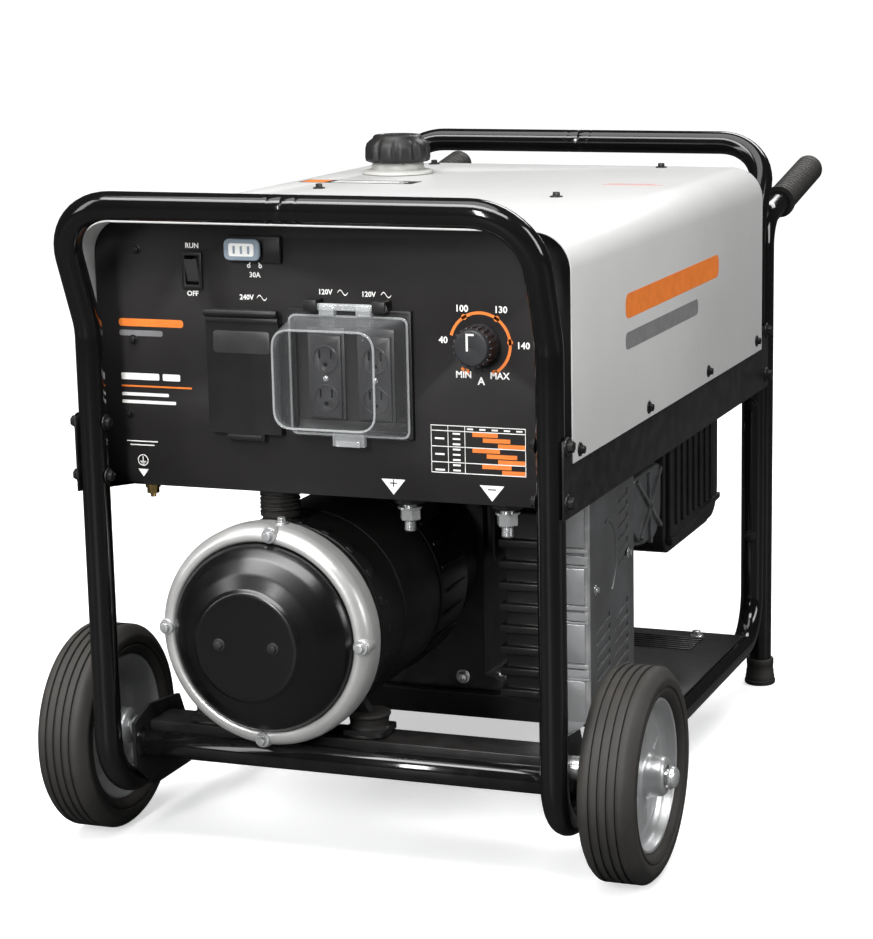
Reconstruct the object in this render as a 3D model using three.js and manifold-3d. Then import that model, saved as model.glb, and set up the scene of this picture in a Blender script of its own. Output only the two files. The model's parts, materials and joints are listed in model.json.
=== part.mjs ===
// Engine driven welder: a wheeled tube frame that carries a small engine, an alternator,
// a control box with its sheet cover, a fuel tank and a pair of lifting handles.
// Millimetres, +Z up, the front panel faces -Y, the origin is on the floor under the middle.
import * as THREE from 'three';
import { ConvexGeometry } from 'three/addons/geometries/ConvexGeometry.js';
import { mergeVertices } from 'three/addons/utils/BufferGeometryUtils.js';
import Module from 'manifold-3d';

const wasm = await Module();
wasm.setup();

// ---- driving sizes -------------------------------------------------------------------
const gap = 0.3;                 // between pieces that seat on each other
const runGap = 0.4;              // round a piece that turns
const sheet = 1.5;               // cover steel
const plate = 2;                 // panel and tray steel

const frame = {
  tubeR: 14.3, legX: 248, length: 800, barZ: 697, railZ: 70.4,
  frontLean: 54, rearLean: 66, kinkZ: 568, rearKinkZ: 600, cornerR: 60, bottomR: 60, kinkR: 60,
};
const wheel = { outset: 54, y: 97.5, radius: 112, width: 60, rimR: 80, hubR: 20, axleR: 8, sides: 28 };
const box = {
  front: 14, rear: 769, bottom: 449.5, top: 674.4, cornerR: 38,
  recess: 36, trayBottom: 397, wallTop: 475, earReach: 10,
};
const alternator = {
  x: -73, ringR: 118, ringFront: 18, ringDepth: 40, coverR: 100.5, domeR: 58,
  domeReach: 42, barrelR: 111, barrelWall: 7, barrelEnd: 330, shaftR: 12, rotorR: 70,
  footX: 89, footY: 82, mountR: 23,
};
const crossbar = { y: 40, z: 115.4 };
const crossmember = { front: 58, rear: 106, height: 23 };
const bracket = { thick: 4, reach: 34, rear: 150, top: 152, flange: 4 };
const engine = {
  caseFront: 333, caseRear: 560, caseHalf: 98, caseTop: 352, plateFront: 400, plateRear: 740,
  plateThick: 3, cylinderY: 470, headX: 160, sideX: 212,
};
const tank = { x: -85, y: 545, width: 290, length: 320, bottom: 452, top: 648, neckX: -150, neckY: 608, neckR: 27 };
const cap = { radius: 40, height: 28, base: 694 };
const handle = {
  outset: 3, offset: 34, bendZ: 604, rise: 0.17, reach: 262, gripLength: 180, gripR: 18.5, boltZ: [206, 376], spacerR: 7,
};
const foot = { radius: 20, height: 34 };
const conduit = { x: -79, y: 84, radius: 19, ridge: 21, pitch: 8, wall: 3 };
const guard = { front: 232, rear: 396, bottom: 118, top: 388, inner: 158, sheet: 2 };
const airCleaner = { front: 545, rear: 772, bottom: 232, top: 392, inner: 92, bottomCut: 26 };

// ---- places that follow from them ------------------------------------------------------
wheel.x = frame.legX + wheel.outset;
handle.x = frame.legX + handle.outset;
alternator.z = crossbar.z + frame.tubeR + gap + alternator.ringR;   // the ring clears the front tube
const panelY = box.front + box.recess;          // front face of the control panel
const rearPanelY = box.rear - box.recess;
const wallIn = frame.legX + frame.tubeR + gap;  // tray side wall, inner face
const wallOut = wallIn + plate;
const coverIn = wallOut + gap;
const coverOut = coverIn + sheet;
const coverRoof = box.top - sheet;
const webOut = frame.legX - frame.tubeR - gap;
const webIn = webOut - bracket.thick;
const flangeTop = crossbar.z - 5;
const memberTop = flangeTop + gap + crossmember.height;
const railTop = frame.railZ + frame.tubeR;
const plateTop = railTop + gap + engine.plateThick;
const handleY = frame.length + handle.offset;

const switchAt = { x: -152.5, z: 622, width: 20, height: 35 };
const breakerAt = { x: -80, z: 646, width: 58, height: 27, buttonX: -94, buttonR: 6 };
const lidAt = { left: -135, right: -54, top: 580, bottom: 457, depth: 11, sheet: 3 };
const coverAt = {
  left: -45, right: 88, top: 588, bottom: 458, depth: 62, wall: 2.5, base: 5,
  draft: { left: 1.5, right: 19, top: 9, bottom: 20 }, nose: 7,
};
const knobAt = { x: 159, z: 557, radius: 21, depth: 27, shaftR: 3.2 };
const hingeR = 4;
const studX = [66, 172];
const studY = 86;
const groundAt = { x: -215, y: 62 };
const coverMiddle = (coverAt.left + coverAt.right) / 2;
const receptacleX = [coverMiddle - 27, coverMiddle + 27];
const receptacleHigh = coverAt.top - 26;
const receptacleLow = coverAt.bottom + 18;
const hingeY = panelY - 12.5;
const lidHingeZ = lidAt.top + 1.5;
const coverHingeZ = coverAt.top + 3;
const earX = [coverMiddle - 44, coverMiddle + 30];
const earWidth = 14;
const earSweep = 16;

// ---- shape helpers ---------------------------------------------------------------------
function toSolid(geometry) {
  const bare = geometry.index ? geometry.clone() : mergeVertices(geometry.clone());
  for (const name of Object.keys(bare.attributes)) if (name !== 'position') bare.deleteAttribute(name);
  const welded = mergeVertices(bare, 1e-4);
  const mesh = new wasm.Mesh({
    numProp: 3,
    vertProperties: new Float32Array(welded.attributes.position.array),
    triVerts: new Uint32Array(welded.index.array),
  });
  return new wasm.Manifold(mesh);
}

function toGeometry(solid) {
  const mesh = solid.getMesh();
  const geometry = new THREE.BufferGeometry();
  geometry.setAttribute('position', new THREE.BufferAttribute(new Float32Array(mesh.vertProperties), 3));
  geometry.setIndex(new THREE.BufferAttribute(new Uint32Array(mesh.triVerts), 1));
  return geometry;
}

const join = (...shapes) => toGeometry(shapes.map(toSolid).reduce((a, b) => a.add(b)));
const cut = (shape, ...tools) => toGeometry(tools.map(toSolid).reduce((a, b) => a.subtract(b), toSolid(shape)));

function block(x0, x1, y0, y1, z0, z1) {
  const shape = new THREE.BoxGeometry(x1 - x0, y1 - y0, z1 - z0);
  return shape.translate((x0 + x1) / 2, (y0 + y1) / 2, (z0 + z1) / 2);
}

// A cylinder from one end of an axis to the other: axis 'x', 'y' or 'z'.
function rod(axis, radius, from, to, u, v, sides = 16) {
  const shape = new THREE.CylinderGeometry(radius, radius, to - from, sides);
  const middle = (from + to) / 2;
  if (axis === 'x') return shape.rotateZ(-Math.PI / 2).translate(middle, u, v);
  if (axis === 'y') return shape.translate(u, middle, v);
  return shape.rotateX(Math.PI / 2).translate(u, v, middle);
}

// A solid of revolution about the local Y axis from [radius, height] pairs.
function turned(profile, sides = 24) {
  return new THREE.LatheGeometry(profile.map(([r, h]) => new THREE.Vector2(r, h)), sides);
}

// A run of straight lengths with round bends, as a curve that steps exactly at its stations.
class BentLine extends THREE.Curve {
  constructor(corners, radii, bendSteps = 5) {
    super();
    this.stations = [corners[0]];
    for (let i = 1; i < corners.length - 1; i += 1) {
      const back = corners[i - 1].clone().sub(corners[i]).normalize();
      const ahead = corners[i + 1].clone().sub(corners[i]).normalize();
      const half = back.angleTo(ahead) / 2;
      const reach = radii[i - 1] / Math.tan(half);
      const middle = back.clone().add(ahead).normalize().multiplyScalar(radii[i - 1] / Math.sin(half)).add(corners[i]);
      const from = back.multiplyScalar(reach).add(corners[i]).sub(middle);
      const to = ahead.multiplyScalar(reach).add(corners[i]).sub(middle);
      const sweep = from.angleTo(to);
      for (let k = 0; k <= bendSteps; k += 1) {
        const a = Math.sin((1 - k / bendSteps) * sweep) / Math.sin(sweep);
        const b = Math.sin((k / bendSteps) * sweep) / Math.sin(sweep);
        this.stations.push(from.clone().multiplyScalar(a).addScaledVector(to, b).add(middle));
      }
    }
    this.stations.push(corners.at(-1));
  }

  getPoint(t) {
    const place = t * (this.stations.length - 1);
    const low = Math.min(Math.floor(place + 1e-6), this.stations.length - 2);
    return this.stations[low].clone().lerp(this.stations[low + 1], place - low);
  }

  getPointAt(u) {
    return this.getPoint(u);
  }

  getTangentAt(u) {
    const last = this.stations.length - 1;
    const at = Math.round(u * last);
    const behind = this.stations[Math.max(at - 1, 0)];
    const here = this.stations[at];
    const ahead = this.stations[Math.min(at + 1, last)];
    const incoming = at > 0 ? here.clone().sub(behind).normalize() : new THREE.Vector3();
    const outgoing = at < last ? ahead.clone().sub(here).normalize() : new THREE.Vector3();
    return incoming.add(outgoing).normalize();
  }
}

function bentTube(corners, radii, radius, bendSteps = 5) {
  const path = new BentLine(corners, radii, bendSteps);
  const section = new THREE.Shape().absarc(0, 0, radius, 0, 2 * Math.PI, false);
  return new THREE.ExtrudeGeometry(section, {
    steps: path.stations.length - 1, extrudePath: path, curveSegments: 6, bevelEnabled: false,
  });
}

// A flat outline in the XZ plane pushed back along Y.
function pushed(outline, y0, y1, curveSegments = 6) {
  const shape = new THREE.ExtrudeGeometry(outline, { depth: y1 - y0, bevelEnabled: false, curveSegments });
  return shape.rotateX(Math.PI / 2).translate(0, y1, 0);
}

function outlineOf(points) {
  return new THREE.Shape(points.map(([x, z]) => new THREE.Vector2(x, z)));
}

// The inverted U of the cover at half width w, roof height top and open bottom edge.
function archOutline(w, top, bottom, radius) {
  const line = new THREE.Shape();
  line.moveTo(-w, bottom);
  line.lineTo(w, bottom);
  line.lineTo(w, top - radius);
  line.absarc(w - radius, top - radius, radius, 0, Math.PI / 2, false);
  line.lineTo(radius - w, top);
  line.absarc(radius - w, top - radius, radius, Math.PI / 2, Math.PI, false);
  line.lineTo(-w, bottom);
  return line;
}

const welder = new THREE.Group();

const finishes = {
  blackCoat: { color: 0x111112, roughness: 0.3, metalness: 0.2 },
  paleCoat: { color: 0xcfcfcd, roughness: 0.4, metalness: 0.1 },
  panelCoat: { color: 0x2b292a, roughness: 0.5, metalness: 0.1 },
  casting: { color: 0xb3b3b1, roughness: 0.45, metalness: 0.9 },
  zinc: { color: 0xa9abad, roughness: 0.35, metalness: 0.9 },
  darkCasting: { color: 0x3a3b3d, roughness: 0.6, metalness: 0.6 },
  guardSteel: { color: 0x8c8e91, roughness: 0.4, metalness: 0.8 },
  rubber: { color: 0x1c1b1a, roughness: 0.85, metalness: 0 },
  plastic: { color: 0x161617, roughness: 0.45, metalness: 0 },
  clear: { color: 0xdfe4e6, roughness: 0.15, metalness: 0, transparent: true, opacity: 0.4 },
  brass: { color: 0xb08d45, roughness: 0.35, metalness: 0.9 },
  copper: { color: 0x9a5a33, roughness: 0.5, metalness: 0.8 },
};

function piece(name, geometry, finish, parent = welder) {
  const mesh = new THREE.Mesh(geometry, new THREE.MeshStandardMaterial(finishes[finish]));
  mesh.name = name;
  parent.add(mesh);
  return mesh;
}

// ---- frame -----------------------------------------------------------------------------
function frameLoop(side) {
  const x = side * frame.legX;
  const back = frame.length;
  const at = (px, y, z) => new THREE.Vector3(px, y, z);
  const corners = [
    at(side * gap / 2, -frame.frontLean, frame.barZ),
    at(x, -frame.frontLean, frame.barZ),
    at(x, 0, frame.kinkZ),
    at(x, 0, frame.railZ),
    at(x, back, frame.railZ),
    at(x, back, frame.rearKinkZ),
    at(x, back + frame.rearLean, frame.barZ),
    at(side * gap / 2, back + frame.rearLean, frame.barZ),
  ];
  const radii = [frame.cornerR, frame.kinkR, frame.bottomR, frame.bottomR, frame.kinkR, frame.cornerR];
  return bentTube(corners, radii, frame.tubeR);
}

function axleBracket(side) {
  const web = pushedSide(webIn, webOut, [
    [24, 92], [24, 140], [60, bracket.top], [bracket.rear - 20, bracket.top - 8],
    [bracket.rear, 104], [bracket.rear, 60], [64, 60],
  ]);
  const flange = block(webIn - bracket.reach, webIn + 1, crossmember.front - 2, crossmember.rear + 14,
    flangeTop - bracket.flange, flangeTop);
  const bracketShape = cut(join(web, flange), rod('x', wheel.axleR + gap, webIn - 1, webOut + 1, wheel.y, wheel.radius));
  return side > 0 ? bracketShape : mirrored(bracketShape);
}

// A flat outline of [y, z] pairs pushed along X.
function pushedSide(x0, x1, points) {
  const line = new THREE.Shape(points.map(([y, z]) => new THREE.Vector2(y, z)));
  const shape = new THREE.ExtrudeGeometry(line, { depth: x1 - x0, bevelEnabled: false });
  const turn = new THREE.Matrix4().makeBasis(
    new THREE.Vector3(0, 1, 0), new THREE.Vector3(0, 0, 1), new THREE.Vector3(1, 0, 0));
  return shape.applyMatrix4(turn).translate(x0, 0, 0);
}

// The same shape on the other side of the machine, with its faces turned the right way out.
function mirrored(geometry) {
  const copy = geometry.clone().scale(-1, 1, 1);
  const index = copy.index.array;
  for (let i = 0; i < index.length; i += 3) [index[i], index[i + 1]] = [index[i + 1], index[i]];
  return copy;
}

function stubAxle() {
  return join(
    rod('x', wheel.axleR, webIn, wheel.x + wheel.width / 2 + 10, wheel.y, wheel.radius),
    rod('x', 13, webOut + gap, wheel.x - wheel.width / 2 - 2, wheel.y, wheel.radius),
    rod('x', 13, wheel.x + wheel.width / 2 + 8, wheel.x + wheel.width / 2 + 16, wheel.y, wheel.radius, 6));
}

function buildFrame() {
  for (const [side, word] of [[-1, 'left'], [1, 'right']]) {
    piece(`frame_loop_${word}`, frameLoop(side), 'blackCoat');
    piece(`axle_bracket_${word}`, axleBracket(side), 'blackCoat');
    const axle = side > 0 ? stubAxle() : mirrored(stubAxle());
    piece(`axle_${word}`, axle, 'zinc');
  }
  piece('front_crossbar', rod('x', frame.tubeR, gap - webIn, webIn - gap, crossbar.y, crossbar.z, 12), 'blackCoat');
  const memberHalf = webIn - gap;
  const channel = cut(
    block(-memberHalf, memberHalf, crossmember.front, crossmember.rear, flangeTop + gap, memberTop),
    block(-memberHalf - 1, memberHalf + 1, crossmember.front + plate, crossmember.rear - plate,
      flangeTop + gap - 1, memberTop - plate * 1.5));
  piece('alternator_crossmember', channel, 'blackCoat');
  const plateHalf = frame.legX + 4;
  const enginePlate = join(
    block(-plateHalf, plateHalf, engine.plateFront, engine.plateRear, railTop + gap, plateTop),
    block(-webOut + gap, webOut - gap, engine.plateRear - 3, engine.plateRear, railTop - 26, railTop + 1),
    block(-webOut + gap, webOut - gap, engine.plateFront, engine.plateFront + 3, railTop - 26, railTop + 1));
  piece('engine_base_plate', enginePlate, 'blackCoat');
}

// ---- wheels ----------------------------------------------------------------------------
function tireShape() {
  const half = wheel.width / 2;
  const r = wheel.radius;
  const inner = wheel.rimR + gap;
  return turned([
    [inner, -half + 8], [inner + 4, -half + 3], [r - 14, -half], [r - 5, -half + 3], [r, -half + 10],
    [r, half - 10], [r - 5, half - 3], [r - 14, half], [inner + 4, half - 3], [inner, half - 8], [inner, -half + 8],
  ], wheel.sides);
}

function rimShape() {
  const half = wheel.width / 2;
  const r = wheel.rimR;
  const bore = wheel.axleR + runGap;
  return turned([
    [bore, -half], [wheel.hubR, -half], [wheel.hubR, half - 22], [r - 24, half - 24], [r - 5, -half + 12],
    [r - 3, -half + 8], [r, -half + 8], [r, half - 8], [r - 4, half - 8], [r - 12, half - 15], [r - 24, half - 20],
    [wheel.hubR + 6, half - 17], [wheel.hubR, half + 5], [bore, half + 5], [bore, -half],
  ], wheel.sides);
}

function buildWheels() {
  for (const [side, word] of [[-1, 'left'], [1, 'right']]) {
    const hub = new THREE.Group();
    hub.position.set(side * wheel.x, wheel.y, wheel.radius);
    hub.rotation.z = side > 0 ? -Math.PI / 2 : Math.PI / 2;
    welder.add(hub);
    piece(`tire_${word}`, tireShape(), 'rubber', hub);
    piece(`rim_${word}`, rimShape(), 'zinc', hub);
  }
}

// ---- lifting handles with their feet -----------------------------------------------------
function buildHandles() {
  const run = Math.hypot(1, handle.rise);
  const gripEnd = handleY + handle.reach;
  const endZ = handle.bendZ + (gripEnd - handleY) * handle.rise;
  const along = new THREE.Vector3(0, 1 / run, handle.rise / run);
  for (const [side, word] of [[-1, 'left'], [1, 'right']]) {
    const x = side * handle.x;
    const top = new THREE.Vector3(x, handleY, handle.bendZ);
    const end = new THREE.Vector3(x, gripEnd, endZ).addScaledVector(along, -6);
    const leg = rod('z', frame.tubeR + 2 * gap, 60, frame.rearKinkZ - 20, side * frame.legX, frame.length, 24);
    const spacers = handle.boltZ.map((z) => cut(rod('y', handle.spacerR, frame.length, handleY, x, z), leg));
    const tube = bentTube([new THREE.Vector3(x, handleY, 8), top, end], [40], frame.tubeR);
    piece(`handle_tube_${word}`, join(tube, ...spacers), 'blackCoat');
    const r = handle.gripR;
    const length = handle.gripLength;
    const bore = frame.tubeR + gap;
    const grip = piece(`grip_${word}`, turned([
      [bore, 0], [r + 2, 0], [r + 2, 5], [r, 8], [r, length - 6], [r - 4, length], [0, length],
      [0, length - 5], [bore, length - 5], [bore, 0],
    ], 24), 'rubber');
    grip.position.copy(end).addScaledVector(along, gap + 5 - length);
    grip.quaternion.setFromUnitVectors(new THREE.Vector3(0, 1, 0), along);
    const shoe = turned([
      [0, 0], [foot.radius, 0], [foot.radius - 3, foot.height], [bore, foot.height], [bore, 8 - gap], [0, 8 - gap],
    ], 24).rotateX(Math.PI / 2);
    piece(`foot_${word}`, shoe, 'rubber').position.set(x, handleY, 0);
  }
}

// ---- control box -------------------------------------------------------------------------
function panelOutline() {
  const w = coverIn - gap;
  const top = coverRoof - gap;
  const inside = wallIn - gap;
  const step = box.wallTop + gap;
  const radius = box.cornerR - sheet - gap;
  const line = new THREE.Shape();
  line.moveTo(-inside, box.trayBottom - plate);
  line.lineTo(inside, box.trayBottom - plate);
  line.lineTo(inside, step);
  line.lineTo(w, step);
  line.lineTo(w, top - radius);
  line.absarc(w - radius, top - radius, radius, 0, Math.PI / 2, false);
  line.lineTo(radius - w, top);
  line.absarc(radius - w, top - radius, radius, Math.PI / 2, Math.PI, false);
  line.lineTo(-w, step);
  line.lineTo(-inside, step);
  return line;
}

function panelHoles(y0, y1) {
  const holes = [
    centredBlock(switchAt, 2 * gap, y0, y1),
    centredBlock(breakerAt, 2 * gap - 8, y0, y1),
    rod('y', 9 + gap, y0, y1, knobAt.x, knobAt.z),
    rod('y', 24 + gap, y0, y1, (lidAt.left + lidAt.right) / 2, (lidAt.top + lidAt.bottom) / 2 - 6, 32),
  ];
  for (const x of receptacleX) holes.push(block(x - 18, x + 18, y0, y1, receptacleLow - 1, receptacleHigh + 1));
  return holes;
}

function centredBlock(at, extra, y0, y1) {
  const w = (at.width + extra) / 2;
  const h = (at.height + extra) / 2;
  return block(at.x - w, at.x + w, y0, y1, at.z - h, at.z + h);
}

function buildBox() {
  const arch = cut(
    pushed(archOutline(coverOut, box.top, box.bottom, box.cornerR), box.front, box.rear),
    pushed(archOutline(coverIn, coverRoof, box.bottom - 1, box.cornerR - sheet), box.front - 1, box.rear + 1),
    rod('z', tank.neckR + 9, coverRoof - 2, box.top + 1, tank.neckX, tank.neckY));
  piece('top_cover', arch, 'paleCoat');
  const panel = cut(pushed(panelOutline(), panelY, panelY + plate), ...panelHoles(panelY - 1, panelY + plate + 1));
  piece('front_panel', panel, 'panelCoat');
  piece('rear_panel', pushed(panelOutline(), rearPanelY - plate, rearPanelY), 'panelCoat');
  const floorFront = panelY + plate + gap;
  const floorRear = rearPanelY - plate - gap;
  const floorTop = box.trayBottom + plate;
  const walls = [-1, 1].map((side) => block(
    Math.min(side * wallIn, side * wallOut), Math.max(side * wallIn, side * wallOut),
    -box.earReach, frame.length + box.earReach, box.trayBottom, box.wallTop));
  const holes = [rod('z', conduit.radius + 1, box.trayBottom - 1, floorTop + 1, conduit.x, conduit.y)];
  for (const x of studX) holes.push(rod('z', 9 + gap, box.trayBottom - 1, floorTop + 1, x, studY));
  holes.push(rod('z', 6 + gap, box.trayBottom - 1, floorTop + 1, groundAt.x, groundAt.y));
  const floor = cut(block(-wallIn - 1, wallIn + 1, floorFront, floorRear, box.trayBottom, floorTop), ...holes);
  piece('base_tray', join(floor, ...walls), 'blackCoat');
}

function buildConduit() {
  const top = box.trayBottom + 8;
  const low = alternator.z + alternator.barrelR - 6;
  const profile = [[0, low], [conduit.radius, low]];
  for (let z = low + 2; z + conduit.pitch < box.trayBottom - 1; z += conduit.pitch) {
    profile.push([conduit.radius, z], [conduit.ridge, z + 1], [conduit.ridge, z + 4], [conduit.radius, z + 5]);
  }
  profile.push([conduit.radius, top], [0, top]);
  const hose = turned(profile, 12).rotateX(Math.PI / 2).translate(conduit.x, conduit.y, 0);
  const barrel = rod('y', alternator.barrelR + gap, conduit.y - 40, conduit.y + 40, alternator.x, alternator.z, 40);
  const bore = rod('z', conduit.radius - conduit.wall, low - 9, top + 1, conduit.x, conduit.y, 12);
  piece('conduit', cut(hose, barrel, bore), 'plastic');
}

// ---- fuel tank ---------------------------------------------------------------------------
function buildTank() {
  const x0 = tank.x - tank.width / 2;
  const x1 = tank.x + tank.width / 2;
  const y0 = tank.y - tank.length / 2;
  const y1 = tank.y + tank.length / 2;
  const neckTop = cap.base - 2;
  const standing = box.trayBottom + plate + gap;
  const feet = [];
  for (const x of [x0 + 20, x1 - 50]) for (const y of [y0 + 20, y1 - 50]) {
    feet.push(block(x, x + 30, y, y + 30, standing, tank.bottom + 1));
  }
  const shell = join(
    block(x0, x1, y0, y1, tank.bottom, tank.top),
    rod('z', tank.neckR, tank.top - 1, neckTop, tank.neckX, tank.neckY), ...feet);
  const well = rod('z', tank.neckR - 3, tank.top - 60, neckTop + 1, tank.neckX, tank.neckY);
  const hollow = block(x0 + 4, x1 - 4, y0 + 4, y1 - 4, tank.bottom + 4, tank.top - 4);
  piece('fuel_tank', cut(shell, hollow, well), 'darkCasting');
  const ring = turned([
    [tank.neckR + gap, coverRoof - 3], [tank.neckR + 8, coverRoof - 3], [tank.neckR + 8, box.top + gap],
    [tank.neckR + 17, box.top + gap], [tank.neckR + 15, box.top + 4], [tank.neckR + gap, box.top + 6],
    [tank.neckR + gap, coverRoof - 3],
  ], 28).rotateX(Math.PI / 2);
  piece('tank_grommet', ring, 'rubber').position.set(tank.neckX, tank.neckY, 0);
  const lid = turned([
    [0, neckTop - 12], [tank.neckR - 4, neckTop - 12], [tank.neckR - 4, neckTop + gap],
    [tank.neckR + gap, neckTop + gap], [tank.neckR + gap, neckTop - 9],
    [cap.radius - 5, neckTop - 9], [cap.radius, cap.base - 4], [cap.radius, cap.base + 12],
    [cap.radius - 8, cap.base + cap.height - 6], [cap.radius - 14, cap.base + cap.height], [0, cap.base + cap.height],
  ], 28).rotateX(Math.PI / 2);
  piece('fuel_cap', lid, 'plastic').position.set(tank.neckX, tank.neckY, 0);
}

// ---- devices on the panel ------------------------------------------------------------------
function buildSwitch() {
  const rim = 3;
  const inner = { ...switchAt, width: switchAt.width - 5, height: switchAt.height - 5 };
  const bezel = cut(
    join(centredBlock({ ...switchAt, width: switchAt.width + rim, height: switchAt.height + rim }, 0,
      panelY - 3, panelY - gap),
    centredBlock(switchAt, -gap, panelY - 1, panelY + 22)),
    centredBlock(inner, 0, panelY - 4, panelY + 16));
  piece('run_switch_bezel', bezel, 'plastic');
  const w = inner.width / 2 - runGap;
  const h = inner.height / 2 - 3;
  const rocker = pushedSide(switchAt.x - w, switchAt.x + w, [
    [panelY - 6, switchAt.z + h], [panelY - 3, switchAt.z], [panelY + 1, switchAt.z - h],
    [panelY + 6, switchAt.z - h + 2], [panelY + 7, switchAt.z], [panelY + 3, switchAt.z + h - 1],
  ]);
  piece('run_rocker', rocker, 'plastic');
}

function buildBreaker() {
  const inner = { ...breakerAt, width: breakerAt.width - 9, height: breakerAt.height - 9 };
  const collar = rod('y', breakerAt.buttonR + runGap, panelY - 9, panelY + 16, breakerAt.buttonX, breakerAt.z);
  const body = cut(join(
    centredBlock(breakerAt, 0, panelY - 7, panelY - gap), centredBlock(inner, 0, panelY - 1, panelY + 24)), collar);
  piece('breaker_bezel', body, 'plastic');
  const button = rod('y', breakerAt.buttonR, panelY - 13, panelY + 9, breakerAt.buttonX, breakerAt.z);
  piece('breaker_button', button, 'plastic');
}

function buildOutletLid() {
  const x = (lidAt.left + lidAt.right) / 2;
  const z = (lidAt.top + lidAt.bottom) / 2 - 6;
  const face = panelY - gap;
  const socket = cut(
    join(rod('y', 30, face - 4, face, x, z, 32), rod('y', 24, face - 1, panelY + 30, x, z, 32),
      block(lidAt.left + 12, lidAt.left + 26, face - 6, face, lidAt.top - 7, lidAt.top + 1),
      block(lidAt.right - 26, lidAt.right - 12, face - 6, face, lidAt.top - 7, lidAt.top + 1),
      block(lidAt.left + 12, lidAt.right - 12, face - 3, face, z + 20, lidAt.top - 6)),
    ...[-9, 9].map((dx) => block(x + dx - 1.2, x + dx + 1.2, face - 5, face + 12, z - 6, z + 6)),
    rod('y', 3, face - 5, face + 12, x, z - 12, 12),
    rod('x', hingeR + runGap, lidAt.left - 1, lidAt.right + 1, hingeY, lidHingeZ, 16));
  piece('receptacle_240', socket, 'plastic');
  const front = panelY - lidAt.depth;
  const shell = cut(
    block(lidAt.left, lidAt.right, front, face - gap, lidAt.bottom, lidAt.top - 8),
    block(lidAt.left + lidAt.sheet, lidAt.right - lidAt.sheet, front + lidAt.sheet, face + 1,
      lidAt.bottom + lidAt.sheet, lidAt.top - 4));
  const lid = join(shell,
    rod('x', hingeR, lidAt.left, lidAt.right, hingeY, lidHingeZ, 16),
    block(lidAt.left, lidAt.right, front, front + lidAt.sheet, lidAt.top - 9, lidHingeZ),
    block(x - 21, x + 21, front, front + 4, lidAt.bottom - 7, lidAt.bottom + 1));
  piece('outlet_lid', lid, 'plastic');
}

// The see-through lid's hollow form, drawn in by wall all round: a straight flange, then walls
// that lean in to a chamfered front.
function dome(wall, back, front) {
  const { left, right, top, bottom, draft, nose } = coverAt;
  const layer = (y, lean, inset) => {
    const x0 = left + wall + inset + lean * draft.left;
    const x1 = right - wall - inset - lean * draft.right;
    const z0 = bottom + wall + inset + lean * draft.bottom;
    const z1 = top - 2 - wall - inset - lean * draft.top;
    return [[x0, z0], [x1, z0], [x1, z1], [x0, z1]].map(([x, z]) => new THREE.Vector3(x, y, z));
  };
  return new ConvexGeometry([
    ...layer(back, 0, 0), ...layer(back - 9, 0, 0), ...layer(front + nose, 1, 0), ...layer(front, 1, nose),
  ]);
}

function buildOutletCover() {
  const face = panelY - gap;
  const frameIn = 7;
  const base = cut(
    join(block(coverAt.left, coverAt.right, face - coverAt.base, face, coverAt.bottom, coverAt.top),
      ...earX.map((x) => cut(
        block(x, x + earWidth, hingeY - 6, face, coverAt.top - 1, coverHingeZ + 7),
        rod('x', hingeR + runGap, x - 1, x + earWidth + 1, hingeY, coverHingeZ)))),
    block(coverAt.left + frameIn, coverAt.right - frameIn, face - coverAt.base - 1, face + 1,
      coverAt.bottom + frameIn, coverAt.top - frameIn),
    rod('x', hingeR + 2, coverMiddle - 30 + runGap, coverMiddle + 30 - runGap, hingeY, coverHingeZ, 16));
  piece('outlet_base', join(base,
    block(coverAt.left + frameIn - 1, coverAt.right - frameIn + 1, face - 2, face, coverAt.bottom + 1, receptacleLow - 2)),
  'plastic');
  receptacleX.forEach((x, i) => {
    const middle = (receptacleHigh + receptacleLow) / 2;
    const slots = [];
    for (const z of [middle + 20, middle - 20]) {
      for (const dx of [-6.3, 6.3]) slots.push(block(x + dx - 1, x + dx + 1, face - 8, face + 10, z - 2, z + 7));
      slots.push(rod('y', 2.4, face - 8, face + 10, x, z - 8, 10));
    }
    const yoke = cut(join(
      block(x - 20, x + 20, face - 2.5, face, receptacleLow - 1, receptacleHigh + 7),
      block(x - 17, x + 17, face - 6, panelY + 24, receptacleLow + 1, receptacleHigh - 1)), ...slots);
    piece(i === 0 ? 'receptacle_120_left' : 'receptacle_120_right', yoke, 'plastic');
  });
  const front = panelY - coverAt.depth;
  const back = face - coverAt.base - gap;
  const t = coverAt.wall;
  const outer = dome(0, back, front);
  const inner = dome(t, back + 1, front + t);
  const knuckleHalf = 28;
  const sweeps = earX.map((x) => rod('x', earSweep, x - 1, x + earWidth + 1, hingeY, coverHingeZ, 20));
  const lid = join(cut(outer, inner, ...sweeps),
    block(coverMiddle - knuckleHalf, coverMiddle + knuckleHalf, hingeY - hingeR, hingeY + hingeR,
      coverAt.top - 4.4, coverHingeZ),
    rod('x', hingeR, coverMiddle - 43, coverMiddle + 43, hingeY, coverHingeZ, 16),
    block(coverMiddle - 16, coverMiddle + 16, back - 9, back - 3, coverAt.bottom - 8, coverAt.bottom + 2));
  piece('outlet_cover', lid, 'clear');
}

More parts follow.
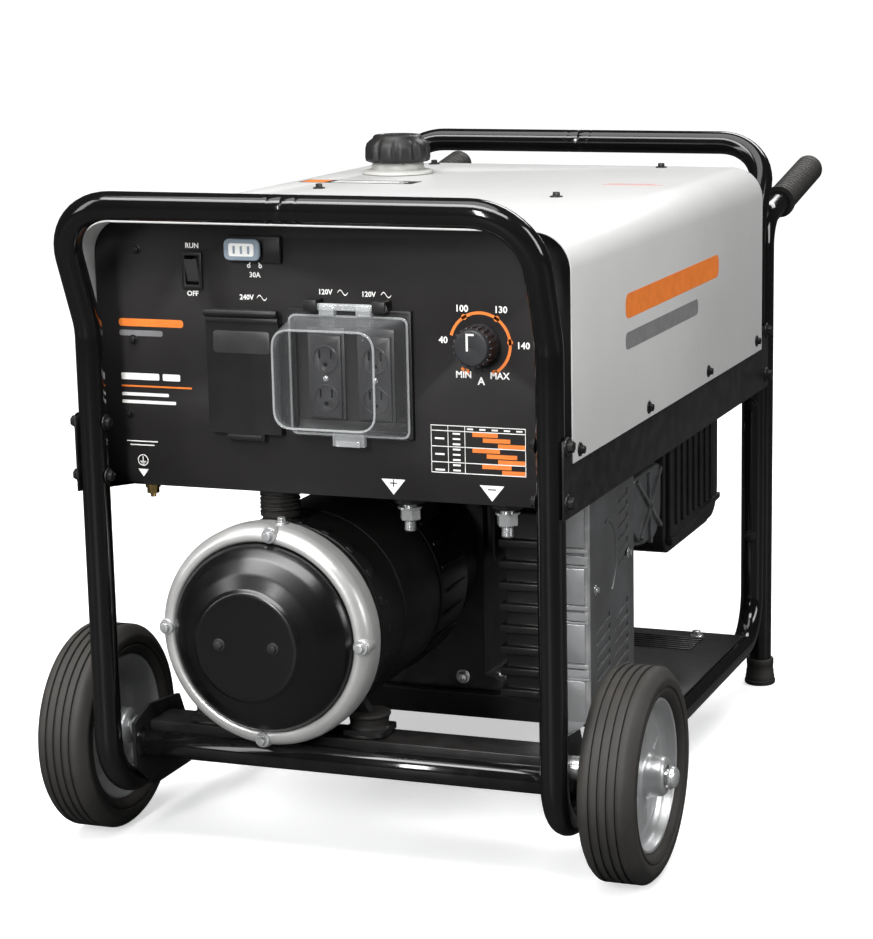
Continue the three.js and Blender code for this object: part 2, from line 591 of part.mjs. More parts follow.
function buildKnob() {
  const face = panelY - gap;
  const pot = join(
    rod('y', 9, face, panelY + plate + 3, knobAt.x, knobAt.z),
    rod('y', 14, panelY + plate + gap, panelY + 22, knobAt.x, knobAt.z),
    rod('y', knobAt.shaftR, face - 20, panelY + 5, knobAt.x, knobAt.z, 16));
  piece('potentiometer', pot, 'zinc');
  const r = knobAt.radius;
  const far = -knobAt.depth;
  const grip = turned([
    [0, far], [r - 6, far], [r - 3, far + 3], [r - 1, far + 12], [r, -3], [r - 1, -1],
    [knobAt.shaftR + runGap, -1], [knobAt.shaftR + runGap, far + 6], [0, far + 6],
  ], 24);
  const pointer = block(-2, 2, far - 2.5, far + 2, -r + 6, r - 6);
  const knob = piece('amperage_knob', join(grip, pointer), 'plastic');
  knob.position.set(knobAt.x, face, knobAt.z);
}

function buildTerminals() {
  const under = box.trayBottom;
  studX.forEach((x, i) => {
    const stud = join(
      rod('z', 6.3, under - 42, under + 24, x, studY, 16),
      rod('z', 16, under - 12, under - gap, x, studY),
      rod('z', 9, under - 1, under + plate + 8, x, studY),
      rod('z', 11, under - 30, under - 18, x, studY, 6),
      rod('z', 12.5, under - 18, under - 16, x, studY));
    piece(i === 0 ? 'weld_stud_positive' : 'weld_stud_negative', stud, 'zinc');
  });
  piece('ground_terminal', join(
    rod('z', 3, under - 17, under + 12, groundAt.x, groundAt.y, 12),
    rod('z', 5.8, under - 1, under + plate + 4, groundAt.x, groundAt.y, 12),
    rod('z', 6.5, under - 13, under - 7, groundAt.x, groundAt.y, 6),
    rod('z', 8, under - 7, under - gap, groundAt.x, groundAt.y, 6)), 'brass');
}

// ---- alternator ------------------------------------------------------------------------------
function buildAlternator() {
  const group = new THREE.Group();
  group.position.set(alternator.x, 0, alternator.z);
  welder.add(group);
  const a = alternator;
  const bellBack = a.ringFront + a.ringDepth;
  const bore = a.shaftR + runGap;
  const barrelIn = a.barrelR - a.barrelWall;
  piece('end_bell', turned([
    [bore, a.ringFront + 14], [26, a.ringFront + 14], [30, a.ringFront + 24], [a.coverR - 14, a.ringFront + 20],
    [a.coverR - 6, a.ringFront + 6], [a.coverR + gap, a.ringFront + 4], [a.coverR + gap, a.ringFront],
    [a.ringR - 9, a.ringFront - 1], [a.ringR - 2, a.ringFront + 5], [a.ringR, a.ringFront + 12], [a.ringR, bellBack - 6],
    [a.barrelR, bellBack], [barrelIn, bellBack], [barrelIn - 6, bellBack - 8], [34, bellBack - 10],
    [30, bellBack + 4], [bore, bellBack + 4], [bore, a.ringFront + 14],
  ], 32), 'casting', group);
  const front = a.ringFront - a.domeReach;
  piece('end_cover', turned([
    [0, front], [a.domeR - 3, front], [a.domeR, front + 2], [a.coverR - 8, a.ringFront - 7], [a.coverR - 1, a.ringFront - 3],
    [a.coverR, a.ringFront + 3.5], [a.coverR - 3, a.ringFront + 3.5], [a.coverR - 6, a.ringFront],
    [a.coverR - 12, a.ringFront - 3], [a.domeR - 2, front + 5], [0, front + 5],
  ], 32), 'blackCoat', group);
  const barrel = turned([
    [barrelIn, bellBack + gap], [a.barrelR, bellBack + gap], [a.barrelR, a.barrelEnd], [24, a.barrelEnd],
    [24, a.barrelEnd - 8], [barrelIn, a.barrelEnd - 12], [barrelIn, bellBack + gap],
  ], 32);
  const footLow = memberTop + 25 - a.z;
  const feet = [-1, 1].map((side) => join(
    block(side * a.footX - a.mountR, side * a.footX + a.mountR, a.footY - 22, a.footY + 22, footLow + gap, footLow + 6),
    block(side * 72 - 8, side * 72 + 8, a.footY - 4, a.footY + 4, footLow + 5, -72)));
  piece('alternator_barrel', join(barrel, ...feet), 'blackCoat', group);
  piece('stator', turned([
    [a.rotorR + 1.5, 100], [barrelIn - gap, 100], [barrelIn - gap, 280], [a.rotorR + 1.5, 280], [a.rotorR + 1.5, 100],
  ], 32), 'copper', group);
  const flywheelY = engine.caseRear + 12;
  piece('rotor', turned([
    [0, 6], [a.shaftR, 6], [a.shaftR, 88], [a.rotorR, 88], [a.rotorR, 292], [a.shaftR, 292],
    [a.shaftR, flywheelY + 40], [0, flywheelY + 40],
  ], 20), 'darkCasting', group);
  piece('flywheel', turned([
    [a.shaftR + gap, flywheelY], [30, flywheelY], [34, flywheelY + 8], [84, flywheelY + 8], [84, flywheelY],
    [96, flywheelY], [96, flywheelY + 30], [a.shaftR + gap, flywheelY + 30], [a.shaftR + gap, flywheelY],
  ], 20), 'darkCasting', group);
  for (const [side, word] of [[-1, 'left'], [1, 'right']]) {
    const rubber = turned([
      [0, memberTop + gap], [a.mountR, memberTop + gap], [a.mountR - 3, memberTop + 12], [a.mountR, memberTop + 25],
      [0, memberTop + 25],
    ], 24).rotateX(Math.PI / 2);
    piece(`alternator_mount_${word}`, rubber, 'rubber').position.set(a.x + side * a.footX, a.footY, 0);
  }
}

// ---- engine ----------------------------------------------------------------------------------
function buildEngine() {
  const cx = alternator.x;
  const cz = alternator.z;
  const e = engine;
  const low = plateTop + gap;
  const caseOutline = outlineOf([
    [cx - e.caseHalf - 22, low], [cx + e.caseHalf + 22, low], [cx + e.caseHalf + 22, low + 12],
    [cx + e.caseHalf, low + 20], [cx + e.caseHalf, cz + 60], [cx + 60, e.caseTop],
    [cx - 60, e.caseTop], [cx - e.caseHalf, cz + 60], [cx - e.caseHalf, low + 20], [cx - e.caseHalf - 22, low + 12],
  ]);
  const caseStart = e.plateFront + 12;
  const shapes = [
    pushed(caseOutline, caseStart, e.caseRear),
    rod('y', 92, e.caseFront - gap, caseStart + 1, cx, cz, 32),
    block(cx + e.caseHalf - 2, e.headX, e.cylinderY - 44, e.cylinderY + 44, cz + 10, cz + 96),
  ];
  for (let x = cx + e.caseHalf + 12; x < e.headX - 6; x += 15) {
    shapes.push(block(x, x + 4, e.cylinderY - 62, e.cylinderY + 58, cz - 6, cz + 112));
  }
  piece('crankcase', cut(join(...shapes), rod('y', alternator.shaftR + 1, e.caseFront - 2, e.caseRear + 1, cx, cz)),
    'darkCasting');
  const headIn = e.headX + gap;
  const rocker = pushedSide(headIn, e.sideX - 2, [
    [400, cz + 112], [400, cz + 40], [430, cz + 12], [506, cz + 2], [540, cz + 30], [540, cz + 112],
  ]);
  piece('rocker_cover', rocker, 'guardSteel');
  const shroud = cut(
    join(rod('y', 122, e.caseRear + gap, e.caseRear + 62, cx, cz, 32),
      block(cx, cx + 122, e.caseRear + gap, e.caseRear + 62, cz, cz + 122),
      block(cx - 60, cx + 60, e.caseRear + gap, e.caseRear + 62, cz - 140, cz)),
    rod('y', 112, e.caseRear - 1, e.caseRear + 58, cx, cz, 32),
    rod('y', 70, e.caseRear + 57, e.caseRear + 63, cx, cz, 32));
  piece('blower_housing', shroud, 'blackCoat');
  const starterY = e.caseRear + 62 + gap;
  piece('recoil_starter', join(
    turned([[0, 14], [66, 14], [66, 0], [90, 0], [88, 26], [70, 42], [0, 46]], 32).translate(cx, starterY, cz),
    block(cx + 50, cx + 78, starterY + 2, starterY + 34, cz + 52, cz + 84)), 'plastic');
  piece('starter_handle', join(
    rod('z', 7, cz + 84 + gap, cz + 100, cx + 64, starterY + 18, 16),
    block(cx + 42, cx + 86, starterY + 11, starterY + 25, cz + 98, cz + 110)), 'plastic');
}

// ---- exhaust and air cleaner -------------------------------------------------------------------
function buildExhaust() {
  const g = guard;
  const out = engine.sideX;
  const t = g.sheet;
  const shell = cut(
    block(g.inner, out, g.front, g.rear, g.bottom, g.top),
    block(g.inner - 1, out - t, g.front + t, g.rear - t, g.bottom + t, g.top - t));
  const slots = [];
  for (let i = 0; i < 6; i += 1) {
    for (const y of [g.front + 22, g.front + 92]) {
      slots.push(block(out - t - 1, out + 1, y, y + 52, g.bottom + 22 + i * 14, g.bottom + 29 + i * 14));
    }
    slots.push(block(out - t - 1, out + 1, g.rear - 60, g.rear - 18, g.bottom + 150 + i * 14, g.bottom + 157 + i * 14));
  }
  piece('muffler_guard', cut(shell, ...slots), 'guardSteel');
  const shapes = [block(112, out - t - 8, g.front + 12, g.rear - 12, g.bottom + 14, g.top - 44)];
  for (let z = g.bottom + 20; z < g.top - 60; z += 24) {
    shapes.push(block(106, g.inner - 4, g.front + 6, g.rear - 8, z, z + 9));
  }
  for (const y of [g.front + 40, g.rear - 36]) {
    shapes.push(rod('x', 6, out - t - 10, out - t - gap, y, g.bottom + 128));
  }
  shapes.push(block(112, 150, g.rear - 14, engine.cylinderY - 62 - gap, alternator.z + 30, alternator.z + 70));
  piece('muffler', join(...shapes), 'blackCoat');
}

function buildAirCleaner() {
  const a = airCleaner;
  const out = engine.sideX + 3;
  const split = a.inner + 62;
  const back = engine.cylinderY + 58;
  piece('air_cleaner_cover', pushedSide(split + gap, out, [
    [a.front, a.top], [a.front, a.bottom + 14], [a.front + 12, a.bottom], [a.rear - a.bottomCut, a.bottom],
    [a.rear, a.bottom + a.bottomCut], [a.rear, a.top],
  ]), 'plastic');
  piece('carburettor', join(
    block(a.inner, split, a.front + 20, a.rear - 40, a.bottom + 12, a.top - 14),
    block(a.inner - 34, a.inner + 1, a.front + 40, a.front + 84, a.bottom + 40, a.top - 40),
    block(a.inner - 20, a.inner + 24, back + gap, a.front + 41, a.bottom + 44, a.bottom + 90)), 'casting');
  const pivotX = split - 18;
  const pivotY = a.rear - 56;
  const seat = a.top - 14 + gap;
  piece('choke_lever', join(
    rod('z', 7, seat, seat + 6, pivotX, pivotY),
    block(pivotX - 3, pivotX + 3, pivotY, pivotY + 76, seat + 1, seat + 5),
    block(pivotX - 6, pivotX + 6, pivotY + 70, pivotY + 78, seat - 8, seat + 6)), 'plastic');
}

buildFrame();
buildWheels();
buildHandles();
buildBox();
buildConduit();
buildTank();
buildSwitch();
buildBreaker();
buildOutletLid();
buildOutletCover();
buildKnob();
buildTerminals();
buildAlternator();
buildEngine();
buildExhaust();
buildAirCleaner();

// The origin is on the floor under the middle of the whole machine.
welder.updateMatrixWorld(true);
const extent = new THREE.Box3().setFromObject(welder, true);
const middle = extent.getCenter(new THREE.Vector3());
welder.position.set(-middle.x, -middle.y, -extent.min.z);

export default welder;
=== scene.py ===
import json
import math

import bmesh
import bpy
from mathutils import Matrix, Vector


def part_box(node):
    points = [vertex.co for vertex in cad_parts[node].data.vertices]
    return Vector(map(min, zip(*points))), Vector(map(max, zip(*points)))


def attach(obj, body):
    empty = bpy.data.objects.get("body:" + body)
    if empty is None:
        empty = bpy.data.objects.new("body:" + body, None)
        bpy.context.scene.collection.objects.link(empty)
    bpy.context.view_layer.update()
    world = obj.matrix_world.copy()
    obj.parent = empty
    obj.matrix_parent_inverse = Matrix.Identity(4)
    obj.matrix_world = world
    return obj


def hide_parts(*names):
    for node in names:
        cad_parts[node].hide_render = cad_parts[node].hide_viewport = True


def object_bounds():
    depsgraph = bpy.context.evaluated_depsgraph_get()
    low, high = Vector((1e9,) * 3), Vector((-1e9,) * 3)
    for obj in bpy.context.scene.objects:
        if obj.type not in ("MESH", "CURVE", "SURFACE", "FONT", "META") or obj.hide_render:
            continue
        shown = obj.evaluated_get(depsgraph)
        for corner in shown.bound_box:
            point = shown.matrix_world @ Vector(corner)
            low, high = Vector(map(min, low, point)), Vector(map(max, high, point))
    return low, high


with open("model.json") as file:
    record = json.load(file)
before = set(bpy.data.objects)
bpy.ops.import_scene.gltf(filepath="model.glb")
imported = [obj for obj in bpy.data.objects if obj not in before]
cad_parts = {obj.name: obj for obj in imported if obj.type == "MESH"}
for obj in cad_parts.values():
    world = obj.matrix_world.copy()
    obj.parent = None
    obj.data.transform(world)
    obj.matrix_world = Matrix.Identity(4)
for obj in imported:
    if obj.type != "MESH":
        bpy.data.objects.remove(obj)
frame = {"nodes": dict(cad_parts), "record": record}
cadLow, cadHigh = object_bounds()
print("frame loaded:", len(frame["nodes"]), "parts")

mm = 0.001
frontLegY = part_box("base_tray")[0].y + 10 * mm   # the tray's ears reach 10 mm past the front legs


# Millimetres from the floor under the front legs' centre line.
def at(x, y, z):
    return Vector((x * mm, y * mm + frontLegY, z * mm))


def middleOf(node):
    low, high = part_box(node)
    return (low + high) / 2


# Shader groups.

def add(tree, kind, inputs=None, **settings):
    node = tree.nodes.new(kind)
    for key, value in settings.items():
        setattr(node, key, value)
    for key, value in (inputs or {}).items():
        socket = node.inputs[key]
        if isinstance(value, bpy.types.NodeSocket):
            tree.links.new(value, socket)
        else:
            socket.default_value = value
    return node


def newGroup(name, ins, outs, kind="ShaderNodeTree"):
    tree = bpy.data.node_groups.new(name, kind)
    for word, socket, default in ins:
        made = tree.interface.new_socket(name=word, in_out="INPUT",
                                         socket_type="NodeSocket" + socket)
        if default is not None:
            made.default_value = default
    for word, socket in outs:
        tree.interface.new_socket(name=word, in_out="OUTPUT", socket_type="NodeSocket" + socket)
    return tree, add(tree, "NodeGroupInput").outputs, add(tree, "NodeGroupOutput").inputs


def mixed(tree, factor, a, b):
    node = add(tree, "ShaderNodeMix", {"Factor": factor}, data_type="RGBA")
    for socket, value in ((node.inputs[6], a), (node.inputs[7], b)):
        if isinstance(value, bpy.types.NodeSocket):
            tree.links.new(value, socket)
        else:
            socket.default_value = value
    return node.outputs[2]


def sums(tree, operation, a, b, clamp=False):
    return add(tree, "ShaderNodeMath", {0: a, 1: b}, operation=operation,
               use_clamp=clamp).outputs[0]


# Patchy colour, settled dust and uneven gloss.
def makeToneGroup():
    tree, i, o = newGroup("surfaceTone", [
        ("Colour", "Color", (0.5, 0.5, 0.5, 1)), ("Shade", "Color", (0.4, 0.4, 0.4, 1)),
        ("Patch Scale", "Float", 8.0), ("Dust Colour", "Color", (0.3, 0.27, 0.22, 1)),
        ("Dust", "Float", 0.0), ("Roughness", "Float", 0.4), ("Spread", "Float", 0.1)],
        [("Colour", "Color"), ("Roughness", "Float")])
    spot = add(tree, "ShaderNodeTexCoord").outputs["Object"]
    patch = add(tree, "ShaderNodeTexNoise",
                {"Vector": spot, "Scale": i["Patch Scale"], "Detail": 5.0}).outputs["Fac"]
    fine = add(tree, "ShaderNodeTexNoise",
               {"Vector": spot, "Scale": 60.0, "Detail": 6.0}).outputs["Fac"]
    patches = add(tree, "ShaderNodeMapRange",
                  {"Value": patch, "From Min": 0.35, "From Max": 0.65}).outputs[0]
    tone = mixed(tree, patches, i["Colour"], i["Shade"])
    up = add(tree, "ShaderNodeSeparateXYZ",
             {0: add(tree, "ShaderNodeNewGeometry").outputs["Normal"]}).outputs["Z"]
    lying = add(tree, "ShaderNodeMapRange",
                {"Value": up, "From Min": -0.3, "To Min": 0.25}).outputs[0]
    dust = sums(tree, "MULTIPLY", sums(tree, "MULTIPLY", lying, fine), i["Dust"], True)
    tree.links.new(mixed(tree, dust, tone, i["Dust Colour"]), o["Colour"])
    uneven = sums(tree, "MULTIPLY", sums(tree, "SUBTRACT", fine, 0.5), i["Spread"])
    rough = sums(tree, "ADD", sums(tree, "ADD", i["Roughness"], uneven),
                 sums(tree, "MULTIPLY", dust, 0.4), True)
    tree.links.new(rough, o["Roughness"])
    return tree


# Fine and coarse relief, with an optional stretch for brushed or drawn metal.
def makeGrainGroup():
    tree, i, o = newGroup("surfaceGrain", [
        ("Fine Scale", "Float", 900.0), ("Fine Depth", "Float", 0.5),
        ("Coarse Scale", "Float", 90.0),
        ("Coarse Depth", "Float", 0.5), ("Stretch", "Vector", (1.0, 1.0, 1.0)),
        ("Pits", "Float", 0.0)],
        [("Height", "Float")])
    spot = add(tree, "ShaderNodeTexCoord").outputs["Object"]
    drawn = add(tree, "ShaderNodeVectorMath", {0: spot, 1: i["Stretch"]},
                operation="MULTIPLY").outputs[0]
    fine = add(tree, "ShaderNodeTexNoise",
               {"Vector": drawn, "Scale": i["Fine Scale"], "Detail": 3.0}).outputs["Fac"]
    coarse = add(tree, "ShaderNodeTexNoise",
                 {"Vector": drawn, "Scale": i["Coarse Scale"], "Detail": 3.0}).outputs["Fac"]
    cells = add(tree, "ShaderNodeTexVoronoi",
                {"Vector": spot, "Scale": i["Fine Scale"]}).outputs["Distance"]
    height = sums(tree, "ADD", sums(tree, "MULTIPLY", fine, i["Fine Depth"]),
                  sums(tree, "MULTIPLY", coarse, i["Coarse Depth"]))
    tree.links.new(sums(tree, "ADD", height, sums(tree, "MULTIPLY", cells, i["Pits"])), o["Height"])
    return tree


# Paint or blacking rubbed thin on the edges.
def makeRubGroup():
    tree, i, o = newGroup("edgeRub", [
        ("Colour", "Color", (0.1, 0.1, 0.1, 1)), ("Bare", "Color", (0.4, 0.4, 0.4, 1)),
        ("Amount", "Float", 0.3)],
        [("Colour", "Color"), ("Mask", "Float")])
    edge = add(tree, "ShaderNodeNewGeometry").outputs["Pointiness"]
    sharp = add(tree, "ShaderNodeMapRange",
                {"Value": edge, "From Min": 0.53, "From Max": 0.62}).outputs[0]
    spot = add(tree, "ShaderNodeTexCoord").outputs["Object"]
    worn = add(tree, "ShaderNodeTexNoise",
               {"Vector": spot, "Scale": 45.0, "Detail": 5.0}).outputs["Fac"]
    chips = add(tree, "ShaderNodeMapRange",
                {"Value": worn, "From Min": 0.45, "From Max": 0.6}).outputs[0]
    mask = sums(tree, "MULTIPLY", sums(tree, "MULTIPLY", sharp, chips), i["Amount"], True)
    tree.links.new(mixed(tree, mask, i["Colour"], i["Bare"]), o["Colour"])
    tree.links.new(mask, o["Mask"])
    return tree


toneGroup, grainGroup, rubGroup = makeToneGroup(), makeGrainGroup(), makeRubGroup()
finishes = {}


def rgba(colour):
    return (*colour, 1.0)


def makeFinish(name, colour, shade=None, rough=0.4, spread=0.1, metal=0.0, patch=8.0, dust=0.04,
               dustColour=(0.32, 0.28, 0.23), fine=(900.0, 0.5), coarse=(90.0, 0.3),
               stretch=(1, 1, 1),
               pits=0.0, depth=0.0002, strength=0.35, coat=0.0, rub=0.0, bare=(0.35, 0.35, 0.35),
               spec=0.5, alpha=None):
    material = bpy.data.materials.new(name)
    material.use_nodes = True
    tree = material.node_tree
    shader = tree.nodes["Principled BSDF"]
    shade = shade or tuple(c * 0.8 for c in colour)
    tone = add(tree, "ShaderNodeGroup", {}, node_tree=toneGroup)
    for key, value in {"Colour": rgba(colour), "Shade": rgba(shade), "Patch Scale": patch,
                       "Dust": dust,
                       "Dust Colour": rgba(dustColour), "Roughness": rough,
                       "Spread": spread}.items():
        tone.inputs[key].default_value = value
    surface = tone.outputs["Colour"]
    if rub:
        worn = add(tree, "ShaderNodeGroup", {}, node_tree=rubGroup)
        worn.inputs["Bare"].default_value = rgba(bare)
        worn.inputs["Amount"].default_value = rub
        tree.links.new(surface, worn.inputs["Colour"])
        surface = worn.outputs["Colour"]
    tree.links.new(surface, shader.inputs["Base Color"])
    tree.links.new(tone.outputs["Roughness"], shader.inputs["Roughness"])
    grain = add(tree, "ShaderNodeGroup", {}, node_tree=grainGroup)
    for key, value in {"Fine Scale": fine[0], "Fine Depth": fine[1], "Coarse Scale": coarse[0],
                       "Coarse Depth": coarse[1], "Stretch": stretch, "Pits": pits}.items():
        grain.inputs[key].default_value = value
    bump = add(tree, "ShaderNodeBump",
               {"Height": grain.outputs["Height"], "Strength": strength, "Distance": depth})
    tree.links.new(bump.outputs["Normal"], shader.inputs["Normal"])
    shader.inputs["Metallic"].default_value = metal
    shader.inputs["Coat Weight"].default_value = coat
    shader.inputs["Coat Roughness"].default_value = 0.12
    shader.inputs["Specular IOR Level"].default_value = spec
    if alpha is not None:
        shader.inputs["Alpha"].default_value = alpha
    finishes[name] = material
    return material


makeFinish("glossBlack", (0.003, 0.003, 0.0033), (0.0045, 0.0045, 0.0045), 0.1, 0.05, coat=0.0,
           dust=0.004, spec=0.55,
           fine=(420, 0.5), coarse=(70, 0.5), strength=0.18, rub=0.25, bare=(0.03, 0.03, 0.03))
makeFinish("coverBlack", (0.0024, 0.0024, 0.0027), (0.0034, 0.0034, 0.0034), 0.26, 0.05, dust=0.002,
           spec=0.6,
           fine=(420, 0.5), coarse=(70, 0.5), strength=0.15, rub=0.25, bare=(0.06, 0.06, 0.06))
makeFinish("satinBlack", (0.0075, 0.0075, 0.008), (0.011, 0.0105, 0.0105), 0.34, 0.12,
           fine=(700, 0.6),
           coarse=(90, 0.4), strength=0.3, rub=0.3, bare=(0.05, 0.05, 0.05), dust=0.02, spec=0.3)
makeFinish("paleCoat", (0.56, 0.56, 0.555), (0.52, 0.52, 0.515), 0.4, 0.1, patch=5, dust=0.03,
           fine=(620, 0.7), coarse=(110, 0.3), strength=0.16, coat=0.12)
makeFinish("panelInk", (0.0155, 0.0143, 0.0147), (0.0185, 0.0172, 0.0176), 0.5, 0.1, patch=14,
           dust=0.02, spec=0.2,
           fine=(800, 0.8), coarse=(150, 0.2), strength=0.3)
makeFinish("castAluminium", (0.66, 0.66, 0.65), (0.56, 0.56, 0.55), 0.36, 0.16, 0.6, patch=22,
           dust=0.05,
           fine=(650, 0.5), coarse=(150, 0.5), pits=0.5, strength=0.4, rub=0.4,
           bare=(0.75, 0.75, 0.74))
makeFinish("zincBright", (0.70, 0.71, 0.72), (0.60, 0.605, 0.61), 0.24, 0.14, 0.75, patch=45,
           dust=0.03,
           fine=(800, 0.4), coarse=(160, 0.3), strength=0.2)
makeFinish("rimSilver", (0.62, 0.63, 0.64), (0.52, 0.525, 0.53), 0.33, 0.14, 0.7, patch=18,
           dust=0.12,
           dustColour=(0.2, 0.17, 0.14), fine=(700, 0.5), coarse=(120, 0.3), strength=0.25)
makeFinish("darkCasting", (0.032, 0.0325, 0.0345), (0.02, 0.02, 0.0215), 0.5, 0.16, 0.65, patch=20,
           dust=0.12,
           fine=(520, 0.6), coarse=(120, 0.6), pits=0.7, strength=0.55, rub=0.5,
           bare=(0.16, 0.16, 0.16))
makeFinish("greyCasting", (0.26, 0.27, 0.28), (0.2, 0.205, 0.21), 0.42, 0.16, 0.85, patch=24,
           dust=0.1,
           fine=(520, 0.6), coarse=(140, 0.6), pits=0.6, strength=0.5, rub=0.5,
           bare=(0.6, 0.6, 0.6))
makeFinish("guardSilver", (0.43, 0.435, 0.445), (0.35, 0.355, 0.36), 0.3, 0.14, 0.55, patch=16,
           dust=0.06,
           fine=(700, 0.4), coarse=(110, 0.3), stretch=(1, 1, 8), strength=0.2, rub=0.4,
           bare=(0.8, 0.8, 0.8))
makeFinish("guardGrey", (0.14, 0.145, 0.15), (0.105, 0.107, 0.111), 0.42, 0.14, 0.45, patch=16,
           dust=0.08,
           fine=(620, 0.6), coarse=(110, 0.3), strength=0.3, rub=0.5, bare=(0.4, 0.4, 0.4))
makeFinish("rubberBlack", (0.011, 0.0108, 0.0105), (0.016, 0.0155, 0.015), 0.6, 0.16, patch=16,
           dust=0.06, spec=0.3,
           fine=(900, 0.8), coarse=(200, 0.4), pits=0.3, strength=0.5)
makeFinish("tyreRubber", (0.017, 0.0165, 0.016), (0.028, 0.027, 0.025), 0.62, 0.2, patch=14,
           dust=0.16, spec=0.35,
           dustColour=(0.17, 0.145, 0.12), fine=(800, 0.8), coarse=(160, 0.6), pits=0.3,
           strength=0.6)
makeFinish("mouldedBlack", (0.009, 0.009, 0.0095), (0.013, 0.013, 0.0135), 0.4, 0.14, patch=20,
           dust=0.04, spec=0.35,
           fine=(1300, 0.6), coarse=(300, 0.2), pits=0.6, strength=0.35)
makeFinish("knobSlate", (0.021, 0.022, 0.026), (0.028, 0.029, 0.033), 0.36, 0.12, patch=30,
           dust=0.04,
           fine=(1300, 0.6), coarse=(300, 0.2), pits=0.4, strength=0.3)
makeFinish("devicePlastic", (0.03, 0.03, 0.032), (0.04, 0.04, 0.042), 0.3, 0.1, patch=30, dust=0.03,
           fine=(1100, 0.4), coarse=(300, 0.2), strength=0.2)
makeFinish("neckPlastic", (0.42, 0.42, 0.40), (0.36, 0.36, 0.34), 0.42, 0.1, patch=20, dust=0.08,
           fine=(900, 0.5), coarse=(200, 0.3), strength=0.25)
makeFinish("windowPlastic", (0.30, 0.36, 0.42), (0.24, 0.30, 0.36), 0.16, 0.06, patch=60, dust=0.03,
           coat=0.6,
           fine=(500, 0.3), coarse=(120, 0.3), strength=0.15)
makeFinish("brass", (0.60, 0.42, 0.16), (0.48, 0.33, 0.12), 0.3, 0.14, 1.0, patch=60, dust=0.03,
           fine=(800, 0.4), coarse=(160, 0.3), strength=0.2)
makeFinish("copperWire", (0.48, 0.2, 0.09), (0.36, 0.14, 0.06), 0.4, 0.14, 0.9, patch=60, dust=0.05,
           fine=(900, 0.8), coarse=(300, 0.3), stretch=(6, 1, 6), strength=0.5)
makeFinish("inkWhite", (0.92, 0.92, 0.90), (0.84, 0.84, 0.82), 0.5, 0.1, patch=90, dust=0.05,
           strength=0.1)
makeFinish("inkOrange", (0.80, 0.205, 0.025), (0.72, 0.175, 0.02), 0.45, 0.1, patch=60, dust=0.04,
           strength=0.1)
makeFinish("inkGrey", (0.19, 0.19, 0.195), (0.16, 0.16, 0.165), 0.45, 0.1, patch=60, dust=0.04,
           strength=0.1)
makeFinish("inkRed", (0.55, 0.06, 0.04), (0.46, 0.05, 0.035), 0.5, 0.1, patch=60, dust=0.04,
           strength=0.1)


# Moulded clear plastic: nearly unseen face on; where it turns away the pale grey grows more opaque,
# a painted reflection along the glancing edges.
def makeClear(name, colour, faceOn, turned):
    material = makeFinish(name, colour, tuple(c * 0.9 for c in colour), 0.07, 0.05, patch=30,
                          dust=0.02,
                          fine=(60, 0.1), coarse=(22, 0.3), strength=0.03, spec=0.9, alpha=faceOn,
                          coat=0.4)
    tree = material.node_tree
    # Painted reflection: opacity rises with Layer Weight, so glancing walls and edges show as a
    # pale sheen.
    facing = add(tree, "ShaderNodeLayerWeight", {"Blend": 0.35}).outputs["Facing"]
    paintedSheenAlpha = add(tree, "ShaderNodeMapRange",
               {"Value": facing, "From Min": 0.12, "To Min": faceOn, "To Max": turned}).outputs[0]
    tree.links.new(paintedSheenAlpha, tree.nodes["Principled BSDF"].inputs["Alpha"])


makeClear("clearCover", (0.34, 0.355, 0.365), 0.02, 0.5)
# A paler, more opaque copy of the clear plastic: painted highlight for the lid's edge beads, hinge
# and latch.
makeClear("clearPaintedHighlight", (0.72, 0.74, 0.75), 0.3, 0.75)
print("finishes:", len(finishes))

# Outlines below are in millimetres.

# Rounds the corners of an outline: each corner becomes a short curve.
def eased(points, radius, steps=3, closed=True):
    out = []
    count = len(points)
    for k, point in enumerate(points):
        here = Vector(point)
        if not closed and k in (0, count - 1):
            out.append(tuple(here))
            continue
        before, after = Vector(points[k - 1]), Vector(points[(k + 1) % count])
        reach = min(radius, (before - here).length * 0.45, (after - here).length * 0.45)
        if reach < 0.02:
            out.append(tuple(here))
            continue
        start = here + (before - here).normalized() * reach
        end = here + (after - here).normalized() * reach
        for s in range(steps + 1):
            t = s / steps
            out.append(tuple(start * (1 - t) ** 2 + here * 2 * t * (1 - t) + end * t ** 2))
    return out


# Turns (radius, height) pairs about an axis through centre; a closed profile makes a ring.
def lathe(bm, profile, centre, axis="y", sides=72, turnBy=0.0):
    frames = {"x": (Vector((0, 1, 0)), Vector((0, 0, 1)), Vector((1, 0, 0))),
              "y": (Vector((0, 0, 1)), Vector((1, 0, 0)), Vector((0, 1, 0))),
              "z": (Vector((1, 0, 0)), Vector((0, 1, 0)), Vector((0, 0, 1)))}
    u, v, w = frames[axis] if isinstance(axis, str) else axis
    rings = []
    for radius, height in profile:
        base = centre + w * (height * mm)
        if radius < 1e-4:
            rings.append([bm.verts.new(base)])
        else:
            rings.append([bm.verts.new(base + (u * math.cos(a) + v * math.sin(a)) * (radius * mm))
                          for a in (turnBy + 2 * math.pi * k / sides for k in range(sides))])
    pairs = list(zip(rings, rings[1:]))
    if profile[0][0] > 1e-4 and profile[-1][0] > 1e-4:
        pairs.append((rings[-1], rings[0]))
    for a, b in pairs:
        if len(a) == 1 and len(b) == 1:
            continue
        for k in range(sides):
            n = (k + 1) % sides
            if len(a) == 1:
                bm.faces.new((a[0], b[k], b[n]))
            elif len(b) == 1:
                bm.faces.new((a[k], b[0], a[n]))
            else:
                bm.faces.new((a[k], b[k], b[n], a[n]))


